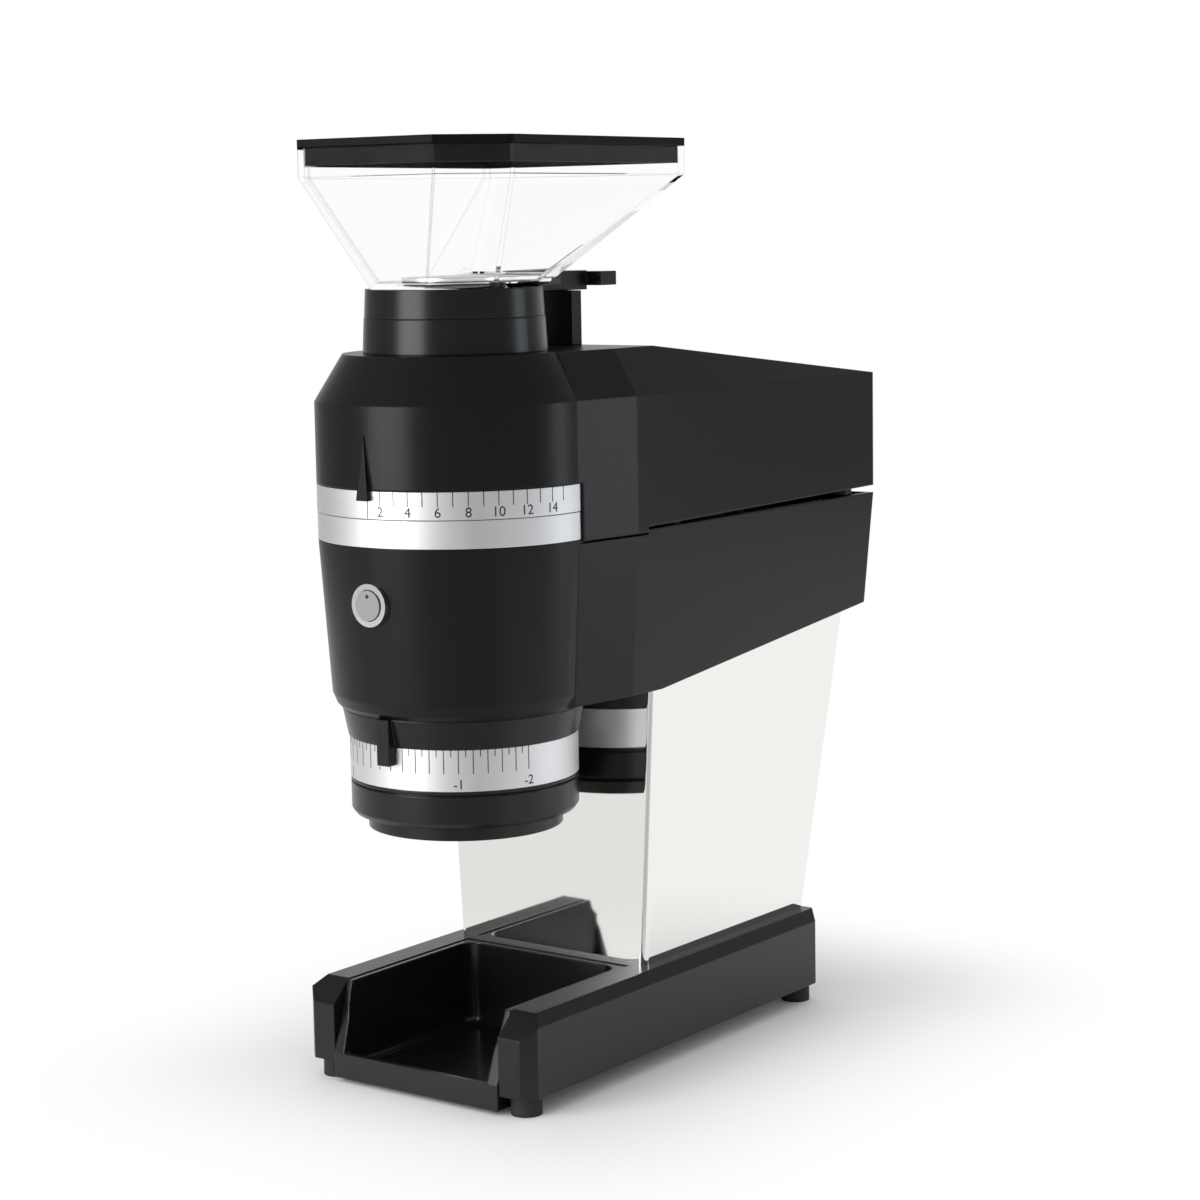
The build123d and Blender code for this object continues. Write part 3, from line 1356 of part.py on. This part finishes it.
with BuildPart() as hopper_body:
    loft(
        [face(level(NECK_TOP), THROAT_PLAN), face(level(HOPPER_BREAK_Z), HOPPER_PLAN)],
        ruled=True,
    )
    extrude(face(level(HOPPER_BREAK_Z), HOPPER_PLAN), amount=HOPPER_TOP - HOPPER_BREAK_Z)
    block(-GUIDE_HALF_W, GUIDE_HALF_W, GUIDE_FRONT, GUIDE_REAR, NECK_TOP, GUIDE_TOP)
    add(hopper_core.part, mode=Mode.SUBTRACT)
    drum(HOPPER_SPIGOT_R, 0, 0, HOPPER_SPIGOT_LOW, NECK_TOP)
    drum(FEED_R, 0, 0, HOPPER_SPIGOT_LOW, GATE_FLOOR, Mode.SUBTRACT)
    block(
        -GATE_HALF_W - RUN_GAP,
        GATE_HALF_W + RUN_GAP,
        0,
        GUIDE_REAR + WALL,
        GATE_FLOOR,
        GATE_FLOOR + GATE_T + RUN_GAP,
        Mode.SUBTRACT,
    )

hopper_body.part.label = "hopper_body"
export_step(hopper_body.part, "parts/hopper_body.step")

with BuildPart() as gate_slide:
    drum(GATE_HALF_W, 0, 0, GATE_FLOOR, GATE_FLOOR + GATE_T)
    block(-GATE_HALF_W, GATE_HALF_W, 0, STEM_FRONT + WALL, GATE_FLOOR, GATE_FLOOR + GATE_T)
    block(-STEM_HALF_W, STEM_HALF_W, STEM_FRONT, HANDLE_FRONT, LATCH_TOP, STEM_TOP)
    block(-HANDLE_HALF_W, HANDLE_HALF_W, HANDLE_FRONT, HANDLE_REAR, HANDLE_LOW, HANDLE_TOP)

gate_slide.part.label = "gate_slide"
export_step(gate_slide.part, "parts/gate_slide.step")

with BuildPart() as hopper_lid:
    extrude(face(level(HOPPER_TOP), HOPPER_PLAN), amount=LID_TOP - HOPPER_TOP)
    extrude(
        face(level(LID_SKIRT_LOW), inset(HOPPER_PLAN, HOPPER_WALL + LID_GAP)),
        amount=HOPPER_TOP - LID_SKIRT_LOW,
    )
    extrude(
        face(level(LID_SKIRT_LOW), inset(HOPPER_PLAN, HOPPER_WALL + LID_GAP + LID_SKIRT_T)),
        amount=HOPPER_TOP - LID_SKIRT_LOW,
        mode=Mode.SUBTRACT,
    )

hopper_lid.part.label = "hopper_lid"
export_step(hopper_lid.part, "parts/hopper_lid.step")
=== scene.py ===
# %% [markdown]
# A burr coffee grinder, dressed for a studio picture. The solids come from the packed frame, with every
# piece already in its place, so this lesson only adds what a solid cannot carry: finishes, the marks on
# the two graduated rings, the light and the camera.

import math

import bpy
from mathutils import Matrix, Vector


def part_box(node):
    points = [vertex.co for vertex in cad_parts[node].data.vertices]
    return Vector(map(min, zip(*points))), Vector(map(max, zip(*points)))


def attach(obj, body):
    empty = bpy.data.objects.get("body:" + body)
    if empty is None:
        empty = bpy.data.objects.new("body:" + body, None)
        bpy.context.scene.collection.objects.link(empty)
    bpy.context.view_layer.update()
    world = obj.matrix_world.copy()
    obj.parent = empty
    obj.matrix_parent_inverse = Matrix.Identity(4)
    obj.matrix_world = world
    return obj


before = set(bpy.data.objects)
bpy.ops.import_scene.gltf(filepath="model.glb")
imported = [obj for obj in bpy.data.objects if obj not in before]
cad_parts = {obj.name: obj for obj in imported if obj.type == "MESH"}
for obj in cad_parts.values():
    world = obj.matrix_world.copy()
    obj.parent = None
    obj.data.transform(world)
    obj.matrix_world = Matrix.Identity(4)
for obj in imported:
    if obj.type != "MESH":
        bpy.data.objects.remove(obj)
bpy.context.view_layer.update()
MM = 0.001
print("nodes in the frame:", len(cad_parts))

# %% [markdown]
# Finishes are node trees. Linked by hand, socket by socket, a sum is hard to read, so one small class
# wraps a socket and turns Python operators into Math nodes. Every other node comes from one method,
# `node`: its settings are set first, then its inputs take plain values or links. Colours are linear red,
# green, blue.

# %% Shader recipes
BEVEL_SAMPLES = 6


class Wire:
    """One output socket, with arithmetic."""

    def __init__(self, recipe, socket):
        self.recipe = recipe
        self.socket = socket

    def maths(self, operation, first, second):
        return self.recipe.node("ShaderNodeMath", {"operation": operation}, {0: first, 1: second})

    def larger(self, other):
        return self.maths("MAXIMUM", self, other)

    def __add__(self, other):
        return self.maths("ADD", self, other)

    def __radd__(self, other):
        return self.maths("ADD", other, self)

    def __sub__(self, other):
        return self.maths("SUBTRACT", self, other)

    def __rsub__(self, other):
        return self.maths("SUBTRACT", other, self)

    def __mul__(self, other):
        return self.maths("MULTIPLY", self, other)

    def __rmul__(self, other):
        return self.maths("MULTIPLY", other, self)


class NodeTree:
    """A node tree with one way to add a node."""

    def __init__(self, tree):
        self.tree = tree

    def put(self, socket, value):
        if isinstance(value, Wire):
            self.tree.links.new(value.socket, socket)
        elif socket.type == "RGBA":
            socket.default_value = (*value, 1.0)
        else:
            socket.default_value = value

    def node(self, kind, settings=None, inputs=None, output=0):
        made = self.tree.nodes.new(kind)
        for key, value in (settings or {}).items():
            setattr(made, key, value)
        for key, value in (inputs or {}).items():
            self.put(made.inputs[key], value)
        return Wire(self, made.outputs[output])

    def span(self, value, low, high):
        """A smooth step: 0 at low, 1 at high."""
        settings = {"interpolation_type": "SMOOTHSTEP"}
        inputs = {"Value": value, "From Min": low, "From Max": high}
        return self.node("ShaderNodeMapRange", settings, inputs)

    def vector(self, operation, *values, output="Vector"):
        """Vector Math on one or two vectors."""
        settings = {"operation": operation}
        return self.node("ShaderNodeVectorMath", settings, dict(enumerate(values)), output)

    def dot(self, first, second):
        """The dot product of two vectors, a plain number."""
        return self.vector("DOT_PRODUCT", first, second, output="Value")

    def length(self, value):
        """How long a vector is, a plain number."""
        return self.vector("LENGTH", value, output="Value")

    def blend(self, share, first, second):
        """One colour turning into another."""
        return self.node("ShaderNodeMix", {"data_type": "RGBA"}, {0: share, 6: first, 7: second}, output=2)

    def mix(self, share, first, second):
        """One shader turning into another."""
        return self.node("ShaderNodeMixShader", {}, {0: share, 1: first, 2: second})

    def ray(self, kind):
        """1 for rays of this kind, 0 for all others."""
        return self.node("ShaderNodeLightPath", output=f"Is {kind} Ray")

    def shown(self):
        """1 for what the camera sees, straight or through clear plastic."""
        return self.ray("Camera").larger(self.ray("Transmission"))


class Recipe(NodeTree):
    """The node tree of one finish."""

    def __init__(self, name):
        self.material = bpy.data.materials.new(name)
        self.material.use_nodes = True
        super().__init__(self.material.node_tree)
        self.skin = self.tree.nodes["Principled BSDF"]

    def set(self, **inputs):
        for key, value in inputs.items():
            self.put(self.skin.inputs[key.replace("_", " ")], value)

    def place(self):
        return self.node("ShaderNodeTexCoord", output="Object")

    def along(self, axis):
        """How far a point is along X, Y or Z."""
        return self.node("ShaderNodeSeparateXYZ", {}, {0: self.place()}, output=axis)

    def noise(self, scale, detail, stretch=None):
        where = self.place()
        if stretch:
            where = self.node("ShaderNodeMapping", {}, {"Vector": where, "Scale": stretch})
        return self.node("ShaderNodeTexNoise", {}, {"Vector": where, "Scale": scale, "Detail": detail})

    def bump(self, height, strength, distance, under):
        inputs = {"Height": height, "Strength": strength, "Distance": distance, "Normal": under}
        return self.node("ShaderNodeBump", {}, inputs)

    def eased_edges(self, radius):
        return self.node("ShaderNodeBevel", {"samples": BEVEL_SAMPLES}, {"Radius": radius})


finishes = {}


def finish(name, colour, roughness, **constants):
    """A plain finish, kept by name."""
    recipe = Recipe(name)
    recipe.set(Base_Color=colour, Roughness=roughness, **constants)
    finishes[name] = recipe
    return recipe


print("helpers for finishes:", [name for name in vars(NodeTree) if not name.startswith("_")])

# %% [markdown]
# The head and base have a satin black coat; the collar, the grip ring, the neck and the lid are black
# mouldings. One flat black would read as a hole in the picture. A very fine grain breaks up the
# highlight, and a bevel in the normal gives each edge the thin bright line that a real edge has. Rounding
# the edges of the mesh would do that too, but the solids stay as they are and the normal is enough at
# this size.

# %% Black finishes
GRAIN_SCALE = 1800.0
GRAIN_DEPTH = 0.1 * MM
GRAIN_RELIEF = 0.4
EDGE = 0.9 * MM


def satin_black(name, colour, roughness, grain, shine):
    """Black whose roughness varies by the amount of its grain."""
    recipe = finish(name, colour, roughness, Specular_IOR_Level=shine)
    speck = recipe.noise(GRAIN_SCALE, detail=1.0)
    recipe.set(
        Roughness=(speck - 0.5) * grain + roughness,
        Normal=recipe.bump(speck, grain * GRAIN_RELIEF, GRAIN_DEPTH, recipe.eased_edges(EDGE)),
    )
    return recipe


satin_black("head_satin", (0.0050, 0.0052, 0.0060), roughness=0.30, grain=0.10, shine=0.22)
satin_black("base_satin", (0.0048, 0.0049, 0.0058), roughness=0.24, grain=0.04, shine=0.40)
satin_black("collar_satin", (0.0052, 0.0052, 0.0054), roughness=0.26, grain=0.06, shine=0.36)
satin_black("lid_satin", (0.0042, 0.0042, 0.0044), roughness=0.38, grain=0.06, shine=0.11)
satin_black("tray_gloss", (0.0056, 0.0056, 0.0058), roughness=0.20, grain=0.03, shine=0.50)
finish("rubber", (0.012, 0.012, 0.012), roughness=0.75)
print("black finishes:", sorted(finishes))

# %% [markdown]
# The column is polished stainless sheet: almost a mirror, a little warm, and never equally clean all
# over, so its roughness wanders a little.

# %% Polished steel
STEEL = (0.88, 0.87, 0.85)
POLISH = 0.03
SMEAR = 0.03
SMEAR_SCALE = 60.0
polished = finish("polished_steel", STEEL, roughness=POLISH, Metallic=1.0)
polished.set(Roughness=polished.noise(SMEAR_SCALE, detail=2.0) * SMEAR + POLISH)
print("polished steel: roughness", POLISH, "to", POLISH + SMEAR)

# %% [markdown]
# The dials are turned aluminium, so their fine lines run round the axis. Real grooves would need a mesh
# far finer than the picture, and noise squeezed along Z gives such lines in roughness and bump.

# %% Turned aluminium
ALUMINIUM = (0.80, 0.80, 0.81)
TURNED = 0.44
TURNED_SWING = 0.12
TURNING_SCALE = 40.0
TURNING_SQUEEZE = (1.0, 1.0, 60.0)
TURNING_RELIEF = 0.05
TURNING_DEPTH = 0.05 * MM
RING_EDGE = 0.35 * MM
turned = finish("turned_aluminium", ALUMINIUM, roughness=TURNED, Metallic=1.0)
turning = turned.noise(TURNING_SCALE, detail=3.0, stretch=TURNING_SQUEEZE)
turned.set(
    Roughness=turning * TURNED_SWING + TURNED,
    Normal=turned.bump(turning, TURNING_RELIEF, TURNING_DEPTH, turned.eased_edges(RING_EDGE)),
)
print("turned aluminium: roughness", TURNED, "to", TURNED + TURNED_SWING)

# %% [markdown]
# The button's bezel is chrome and its cap is painted silver, too small to show more than colour and
# gloss. The other plain finishes are for the works inside, and for the black fill of the marks.

# %% Plain finishes
finish("bright_chrome", (0.92, 0.92, 0.91), roughness=0.16, Metallic=1.0)
finish("cap_silver", (0.29, 0.29, 0.29), roughness=0.42, Metallic=0.85)
finish("plain_steel", (0.45, 0.46, 0.47), roughness=0.38, Metallic=1.0)
finish("cast_aluminium", (0.55, 0.55, 0.56), roughness=0.5, Metallic=1.0)
finish("motor_grey", (0.08, 0.08, 0.085), roughness=0.5, Metallic=0.4)
finish("board_green", (0.012, 0.09, 0.035), roughness=0.45)
finish("board_parts", (0.03, 0.03, 0.04), roughness=0.5)
finish("mark_black", (0.008, 0.008, 0.009), roughness=0.6)
print("finishes so far:", len(finishes))

# %% [markdown]
# The hopper is clear moulded sheet with a real wall thickness in the solid. Panes that only let the view
# through would vanish against white. On the real one the eye reads the edges, where light that ran along
# the sheet comes out grey; here that grey is painted shade, put into the colour of the panes near each
# edge. The bevel normal differs from the flat one only near an edge, and that difference is the mask. The
# painted edge shade is darker on the front half.

# %% Clear plastic, with painted shade at the edges
PANE = (0.99, 0.992, 0.995)
# Painted shade: the greys that stand for light coming out at the edges of the sheet, darker at the front,
# paler at the rear.
FRONT_EDGE_SHADE = (0.34, 0.36, 0.39)
REAR_EDGE_SHADE = (0.66, 0.67, 0.69)
PANE_EDGE = 1.0 * MM
EDGE_TURN = 0.06
FRONT_DEPTH = 46.4 * MM
REAR_DEPTH = 62.4 * MM
hopper_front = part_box("hopper_body")[0][1]
clear = finish("clear_plastic", PANE, roughness=0.01, IOR=1.10, Transmission_Weight=1.0)
flat_normal = clear.node("ShaderNodeNewGeometry", output="True Normal")
turned_away = 1.0 - clear.dot(flat_normal, clear.eased_edges(PANE_EDGE))
edge_shade_share = clear.span(turned_away, 0.0, EDGE_TURN)
rear_shade_share = clear.span(clear.along("Y"), hopper_front + FRONT_DEPTH, hopper_front + REAR_DEPTH)
# The painted edge shade, blended from the darker front grey to the paler rear grey.
painted_edge_shade = clear.blend(rear_shade_share, FRONT_EDGE_SHADE, REAR_EDGE_SHADE)
clear.set(Base_Color=clear.blend(edge_shade_share, PANE, painted_edge_shade))
print("hopper front at", round(hopper_front, 4), "with darker edges for", FRONT_DEPTH, "behind it")

# %% [markdown]
# The gate is one slide: a thin bright blade that closes the throat, and a black handle behind it. Two
# finishes would need two pieces, so one finish covers both, split just inside the rear of the neck.

# %% Gate slide
BLADE = (0.80, 0.80, 0.80)
HANDLE = (0.0060, 0.0061, 0.0066)
BLADE_INSET = 2.7 * MM
BLADE_FADE = 1.0 * MM
blade_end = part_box("neck_upper_ring")[1][1] - BLADE_INSET
gate_finish = satin_black("gate_black", HANDLE, roughness=0.32, grain=0.06, shine=0.40)
handle_share = gate_finish.span(gate_finish.along("Y"), blade_end, blade_end + BLADE_FADE)
gate_finish.set(
    Base_Color=gate_finish.blend(handle_share, BLADE, HANDLE),
    Metallic=1.0 - handle_share,
)
print("blade ends at", round(blade_end, 4))

# %% [markdown]
# Each node of the frame takes one finish. The list is by finish, so that what looks alike stands
# together, and the count at the end shows a node that was left out.

# %% Dress the nodes
dressing = {
    "head_satin": ["lower_housing", "upper_cover"],
    "base_satin": ["base_frame", "latch_post", "power_inlet"],
    "gate_black": ["gate_slide"],
    "collar_satin": [
        "index_collar",
        "grip_ring",
        "spout",
        "neck_lower_ring",
        "neck_upper_ring",
        "button_switch",
    ],
    "lid_satin": ["hopper_lid"],
    "tray_gloss": ["grounds_tray"],
    "rubber": ["rubber_feet", "tray_glides", "drive_belt"],
    "polished_steel": ["column_shell", "column_back_panel"],
    "turned_aluminium": ["trim_ring", "coarse_dial", "fine_dial"],
    "bright_chrome": ["button_bezel"],
    "cap_silver": ["button_cap"],
    "clear_plastic": ["hopper_body"],
    "plain_steel": [
        "bottom_plate",
        "foot_screws",
        "column_spine",
        "cover_screws",
        "chassis_plate",
        "motor_screws",
        "burr_shaft",
        "burr_nut",
        "upper_bearing",
        "lower_bearing",
        "motor_shaft",
        "inner_burr",
        "outer_burr",
    ],
    "cast_aluminium": ["chamber_sleeve", "bearing_bridge", "burr_carrier", "burr_pulley", "motor_pulley"],
    "motor_grey": ["motor_case", "motor_armature"],
    "board_green": ["control_board"],
    "board_parts": ["board_relay", "board_capacitor", "board_standoffs"],
}
for finish_name, node_names in dressing.items():
    for node_name in node_names:
        for material_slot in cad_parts[node_name].material_slots:
            material_slot.material = finishes[finish_name].material
dressed = sum(len(names) for names in dressing.values())
print("dressed", dressed, "of", len(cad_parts), "nodes")

# %% [markdown]
# The two graduated rings carry lines and plain numbers in black. Drawn as a pattern in the finish they
# would blur, so they are thin meshes let into the face. A mark is bent round the ring by turning its
# distance along the ring into an angle. All marks of one ring are one mesh that rides on that ring.

# %% Bend marks round a ring
MARK_LIFT = 0.04 * MM
MARK_DEPTH = 0.06 * MM


def stand(name, data):
    """A new object in the scene that holds this mesh, curve, lamp or camera."""
    made = bpy.data.objects.new(name, data)
    bpy.context.scene.collection.objects.link(made)
    return made


def shape(name, points, faces, finish_name):
    """A new mesh object in one finish."""
    mesh = bpy.data.meshes.new(name)
    mesh.from_pydata(points, [], faces)
    mesh.validate()
    mesh.materials.append(finishes[finish_name].material)
    return stand(name, mesh)


class Ring:
    """Outer face of a graduated ring: where it is, how large, and the marks laid on it."""

    def __init__(self, node):
        low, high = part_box(node)
        self.centre_x = (low[0] + high[0]) / 2
        self.centre_y = (low[1] + high[1]) / 2
        self.radius = (high[0] - low[0]) / 2
        self.low = low[2]
        self.high = high[2]
        self.points = []
        self.faces = []

    def bend(self, along, height, lift):
        reach = self.radius + lift
        turn = along / self.radius
        return (
            self.centre_x + reach * math.sin(turn),
            self.centre_y - reach * math.cos(turn),
            height,
        )

    def add(self, corners, faces):
        start = len(self.points)
        self.points += [self.bend(*corner) for corner in corners]
        self.faces += [[start + k for k in face] for face in faces]

    def line(self, turn, width, low, high):
        middle = math.radians(turn) * self.radius
        corners = [
            (middle + side * width / 2, height, lift)
            for lift in (MARK_LIFT - MARK_DEPTH, MARK_LIFT)
            for side, height in ((-1, low), (1, low), (1, high), (-1, high))
        ]
        sides = [[k, (k + 1) % 4, 4 + (k + 1) % 4, 4 + k] for k in range(4)]
        self.add(corners, [[3, 2, 1, 0], [4, 5, 6, 7]] + sides)

    def number(self, words, turn, size, base):
        curve = bpy.data.curves.new("number", "FONT")
        curve.body = words
        curve.size = size
        curve.align_x = "CENTER"
        curve.extrude = MARK_DEPTH / 2
        writing = stand("number", curve)
        bpy.context.view_layer.update()
        mesh = bpy.data.meshes.new_from_object(writing.evaluated_get(bpy.context.evaluated_depsgraph_get()))
        middle = math.radians(turn) * self.radius
        lift = MARK_LIFT - MARK_DEPTH / 2
        places = [vertex.co for vertex in mesh.vertices]
        corners = [(middle + place.x, base + place.y, lift + place.z) for place in places]
        self.add(corners, [list(face.vertices) for face in mesh.polygons])
        bpy.data.meshes.remove(mesh)
        bpy.data.objects.remove(writing)

    def build(self, name, body):
        marks = shape(name, self.points, self.faces, "mark_black")
        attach(marks, body)
        print(name, "has", len(self.faces), "faces")


print("marks stand", MARK_LIFT, "m proud of a ring")

# %% [markdown]
# Coarse ring: one line for each step of six degrees, a number under every second one, growing to the
# right. The line that stands at the pointer runs over the whole height.

# %% Coarse scale
STEPS = 15
STEP = 6.0
FIRST_TURN = -5.2
LINE_W = 0.34 * MM
COARSE_LINE = 5.6 * MM
COARSE_NUMBER = 5.5 * MM
COARSE_BASE = 1.1 * MM
coarse = Ring("coarse_dial")
for step in range(1, STEPS + 1):
    low = coarse.low if step == 1 else coarse.high - COARSE_LINE
    coarse.line(FIRST_TURN + STEP * step, LINE_W, low, coarse.high)
    if step % 2 == 0:
        coarse.number(str(step), FIRST_TURN + STEP * step, COARSE_NUMBER, coarse.low + COARSE_BASE)
coarse.build("coarse_scale", "coarse_ring")

# %% [markdown]
# Fine ring: zero at the front, two units each way, long lines at fifths of a unit and short ones between
# them. Zero has no number, only its line.

# %% Fine scale
UNITS = 2
UNIT = 36.0
PER_UNIT = 10
FINE_STEP = UNIT / PER_UNIT
FINE_LONG = 9.5 * MM
FINE_SHORT = 2.7 * MM
FINE_NUMBER = 5.4 * MM
FINE_BASE = 1.1 * MM
fine = Ring("fine_dial")
for step in range(-UNITS * PER_UNIT, UNITS * PER_UNIT + 1):
    length = FINE_SHORT if step % 2 else FINE_LONG
    fine.line(FINE_STEP * step, LINE_W, fine.high - length, fine.high)
    if step % PER_UNIT == 0 and step:
        fine.number(str(-step // PER_UNIT), FINE_STEP * step, FINE_NUMBER, fine.low + FINE_BASE)
fine.build("fine_scale", "fine_ring")

# %% [markdown]
# The button cap has one small dark dot near its upper edge, a thin disc let into the face of the cap. It
# rides on the cap.

# %% Dot on the button cap
DOT_R = 0.8 * MM
DOT_RISE = 3.6 * MM
DOT_HALF_DEPTH = 0.05 * MM
DOT_SIDES = 16
cap_low, cap_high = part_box("button_cap")
dot_x = (cap_low[0] + cap_high[0]) / 2
dot_z = (cap_low[2] + cap_high[2]) / 2 + DOT_RISE
dot_points = []
for y in (cap_low[1] - DOT_HALF_DEPTH, cap_low[1] + DOT_HALF_DEPTH):
    for side in range(DOT_SIDES):
        turn = 2 * math.pi * side / DOT_SIDES
        dot_points.append((dot_x + DOT_R * math.cos(turn), y, dot_z + DOT_R * math.sin(turn)))
dot_faces = [list(range(DOT_SIDES)), list(range(2 * DOT_SIDES - 1, DOT_SIDES - 1, -1))]
for side in range(DOT_SIDES):
    following = (side + 1) % DOT_SIDES
    dot_faces.append([side, DOT_SIDES + side, DOT_SIDES + following, following])
dot = shape("button_dot", dot_points, dot_faces, "mark_black")
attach(dot, "button")
print("dot on the button at height", round(dot_z, 4))

# %% [markdown]
# The grinder stands on a plain pale floor. Close to the base the floor is paper and takes the soft
# shadow. Further off it turns pure white for the camera, so that it runs into the background with no
# horizon.

# %% Floor
WHITE = (1.0, 1.0, 1.0)
FLOOR_HALF = 1.15
HALF_FOOTPRINT = (0.061, 0.115, 0.0)
SHADOW_REACH = 0.13
paper = finish("floor_white", (0.94, 0.94, 0.94), roughness=0.8)
floor_corners = [(x * FLOOR_HALF, y * FLOOR_HALF, 0.0) for x, y in ((-1, -1), (1, -1), (1, 1), (-1, 1))]
floor = shape("floor", floor_corners, [[0, 1, 2, 3]], "floor_white")
spot = paper.place()
beyond = paper.vector("SUBTRACT", paper.vector("ABSOLUTE", spot), HALF_FOOTPRINT)
outside = paper.vector("MAXIMUM", beyond, (0.0, 0.0, 0.0))
away = paper.span(paper.length(outside), 0.0, SHADOW_REACH)
print("floor is white from", SHADOW_REACH, "m beside the base")

# %% [markdown]
# The polished column mirrors the floor, and there the picture shows more than white: paler to the right
# and the rear, duller to the left, and dark at the front right, where the studio is unlit. A room built
# round the object would give that too, but tones by place on the floor are simpler to steer. They count
# only for mirrored rays, so the light on the object stays that of plain paper.

# %% Floor in the mirror
DULL = (0.86, 0.86, 0.855)
DARK = (0.52, 0.52, 0.53)
PALE_SIDE = (1.0, 0.6, 0.0)
PALE_FROM, PALE_TO = -0.15, 0.25
DARK_SIDE = (0.593, -0.805, 0.0)
DARK_FROM, DARK_TO = 0.78, 0.97
TONES_FROM, TONES_TO = 0.10, 0.28
pale_share = paper.span(paper.dot(spot, PALE_SIDE), PALE_FROM, PALE_TO)
dark_share = paper.span(paper.dot(paper.vector("NORMALIZE", spot), DARK_SIDE), DARK_FROM, DARK_TO)
tone = paper.blend(dark_share, paper.blend(pale_share, DULL, WHITE), DARK)
in_metal = paper.node("ShaderNodeEmission", {}, {"Color": tone})
in_view = paper.node("ShaderNodeEmission", {}, {"Color": WHITE})
tone_share = paper.ray("Glossy") * paper.span(paper.length(spot), TONES_FROM, TONES_TO)
reflected = paper.mix(tone_share, Wire(paper, paper.skin.outputs[0]), in_metal)
seen = paper.mix(paper.shown() * away, reflected, in_view)
paper.put(paper.tree.nodes["Material Output"].inputs["Surface"], seen)
print("floor tones in the mirror begin", TONES_FROM, "m from the middle")

# %% [markdown]
# The world is white to the camera and through the hopper, and a little dimmer as light. In reflections it
# is a dim room with a paler back wall, so that a dark body shows its form by the lamps it mirrors and its
# level tops catch the wall.

# %% World
FILL = 0.8
ROOM = (0.32, 0.32, 0.325)
BACK_WALL = (0.80, 0.80, 0.81)
WALL_SIDE = (-0.42, 0.91, 0.0)
WALL_FROM, WALL_TO = 0.62, 0.95
world = bpy.data.worlds.new("studio")
bpy.context.scene.world = world
world.use_nodes = True
room = NodeTree(world.node_tree)
outward = room.node("ShaderNodeTexCoord", output="Generated")
wall_share = room.span(room.dot(outward, WALL_SIDE), WALL_FROM, WALL_TO)
dim = room.node("ShaderNodeBackground", {}, {"Color": ROOM})
wall = room.node("ShaderNodeBackground", {}, {"Color": BACK_WALL})
light = room.node("ShaderNodeBackground", {}, {"Color": WHITE, "Strength": FILL})
backdrop = room.node("ShaderNodeBackground", {}, {"Color": WHITE})
unseen = room.mix(room.ray("Glossy"), light, room.mix(wall_share, dim, wall))
whole = room.mix(room.shown(), unseen, backdrop)
room.put(room.tree.nodes["World Output"].inputs["Surface"], whole)
print("room tone in reflections:", ROOM[0], "and", BACK_WALL[0], "at the back wall")

# %% [markdown]
# Two soft boxes make the picture. The large one stands at the front, left of the lens, and its mirror
# image is the upright band of light on the barrel and on the neck. The narrow, cool one stands behind on
# the right, for the facet of the head beside the barrel. Area lamps have a shape that shows in gloss, as
# real soft boxes do.

# %% Lamps
MIDDLE = Vector((0.0, -0.08, 0.25))
COOL = (0.86, 0.94, 1.0)


def soft_box(name, place, width, height, power, tint):
    """A rectangular lamp that faces the middle of the grinder."""
    lamp = bpy.data.lights.new(name, "AREA")
    lamp.shape = "RECTANGLE"
    lamp.size = width
    lamp.size_y = height
    lamp.energy = power
    lamp.color = tint
    holder = stand(name, lamp)
    holder.location = place
    holder.rotation_euler = (MIDDLE - Vector(place)).to_track_quat("-Z", "Y").to_euler()


soft_box("front_box", (-0.45, -1.51, 0.60), width=0.95, height=1.2, power=18.5, tint=WHITE)
soft_box("right_box", (1.09, 0.77, 0.22), width=0.36, height=0.6, power=1.8, tint=COOL)
print("lamps:", len(bpy.data.lights))

# %% [markdown]
# The camera stands where the photograph was taken from: to the right of the front, a little above the
# neck of the hopper, with a long lens and a slight tilt. Its axes are worked out from three angles, so
# that each can be changed by itself.

# %% Camera
TURN = math.radians(36.39)
DIP = math.radians(7.61)
TILT = math.radians(-0.95)
EYE = (0.7189, -0.9622, 0.3498)
SENSOR_MM = 36.0
FOCAL_MM = 84.78
forward = Vector((-math.sin(TURN) * math.cos(DIP), math.cos(TURN) * math.cos(DIP), -math.sin(DIP)))
level_right = Vector((math.cos(TURN), math.sin(TURN), 0.0))
level_up = level_right.cross(forward)
right = math.cos(TILT) * level_right + math.sin(TILT) * level_up
up = -math.sin(TILT) * level_right + math.cos(TILT) * level_up
lens = bpy.data.cameras.new("camera")
lens.sensor_width = SENSOR_MM
lens.lens = FOCAL_MM
camera = stand("camera", lens)
camera.matrix_world = Matrix(
    (
        (right.x, up.x, -forward.x, EYE[0]),
        (right.y, up.y, -forward.y, EYE[1]),
        (right.z, up.z, -forward.z, EYE[2]),
        (0.0, 0.0, 0.0, 1.0),
    )
)
bpy.context.scene.camera = camera
bpy.context.scene.view_settings.view_transform = "Standard"
print("camera at", tuple(round(v, 3) for v in camera.location))

# %% [markdown]
# Finishes and marks must not make the object larger.
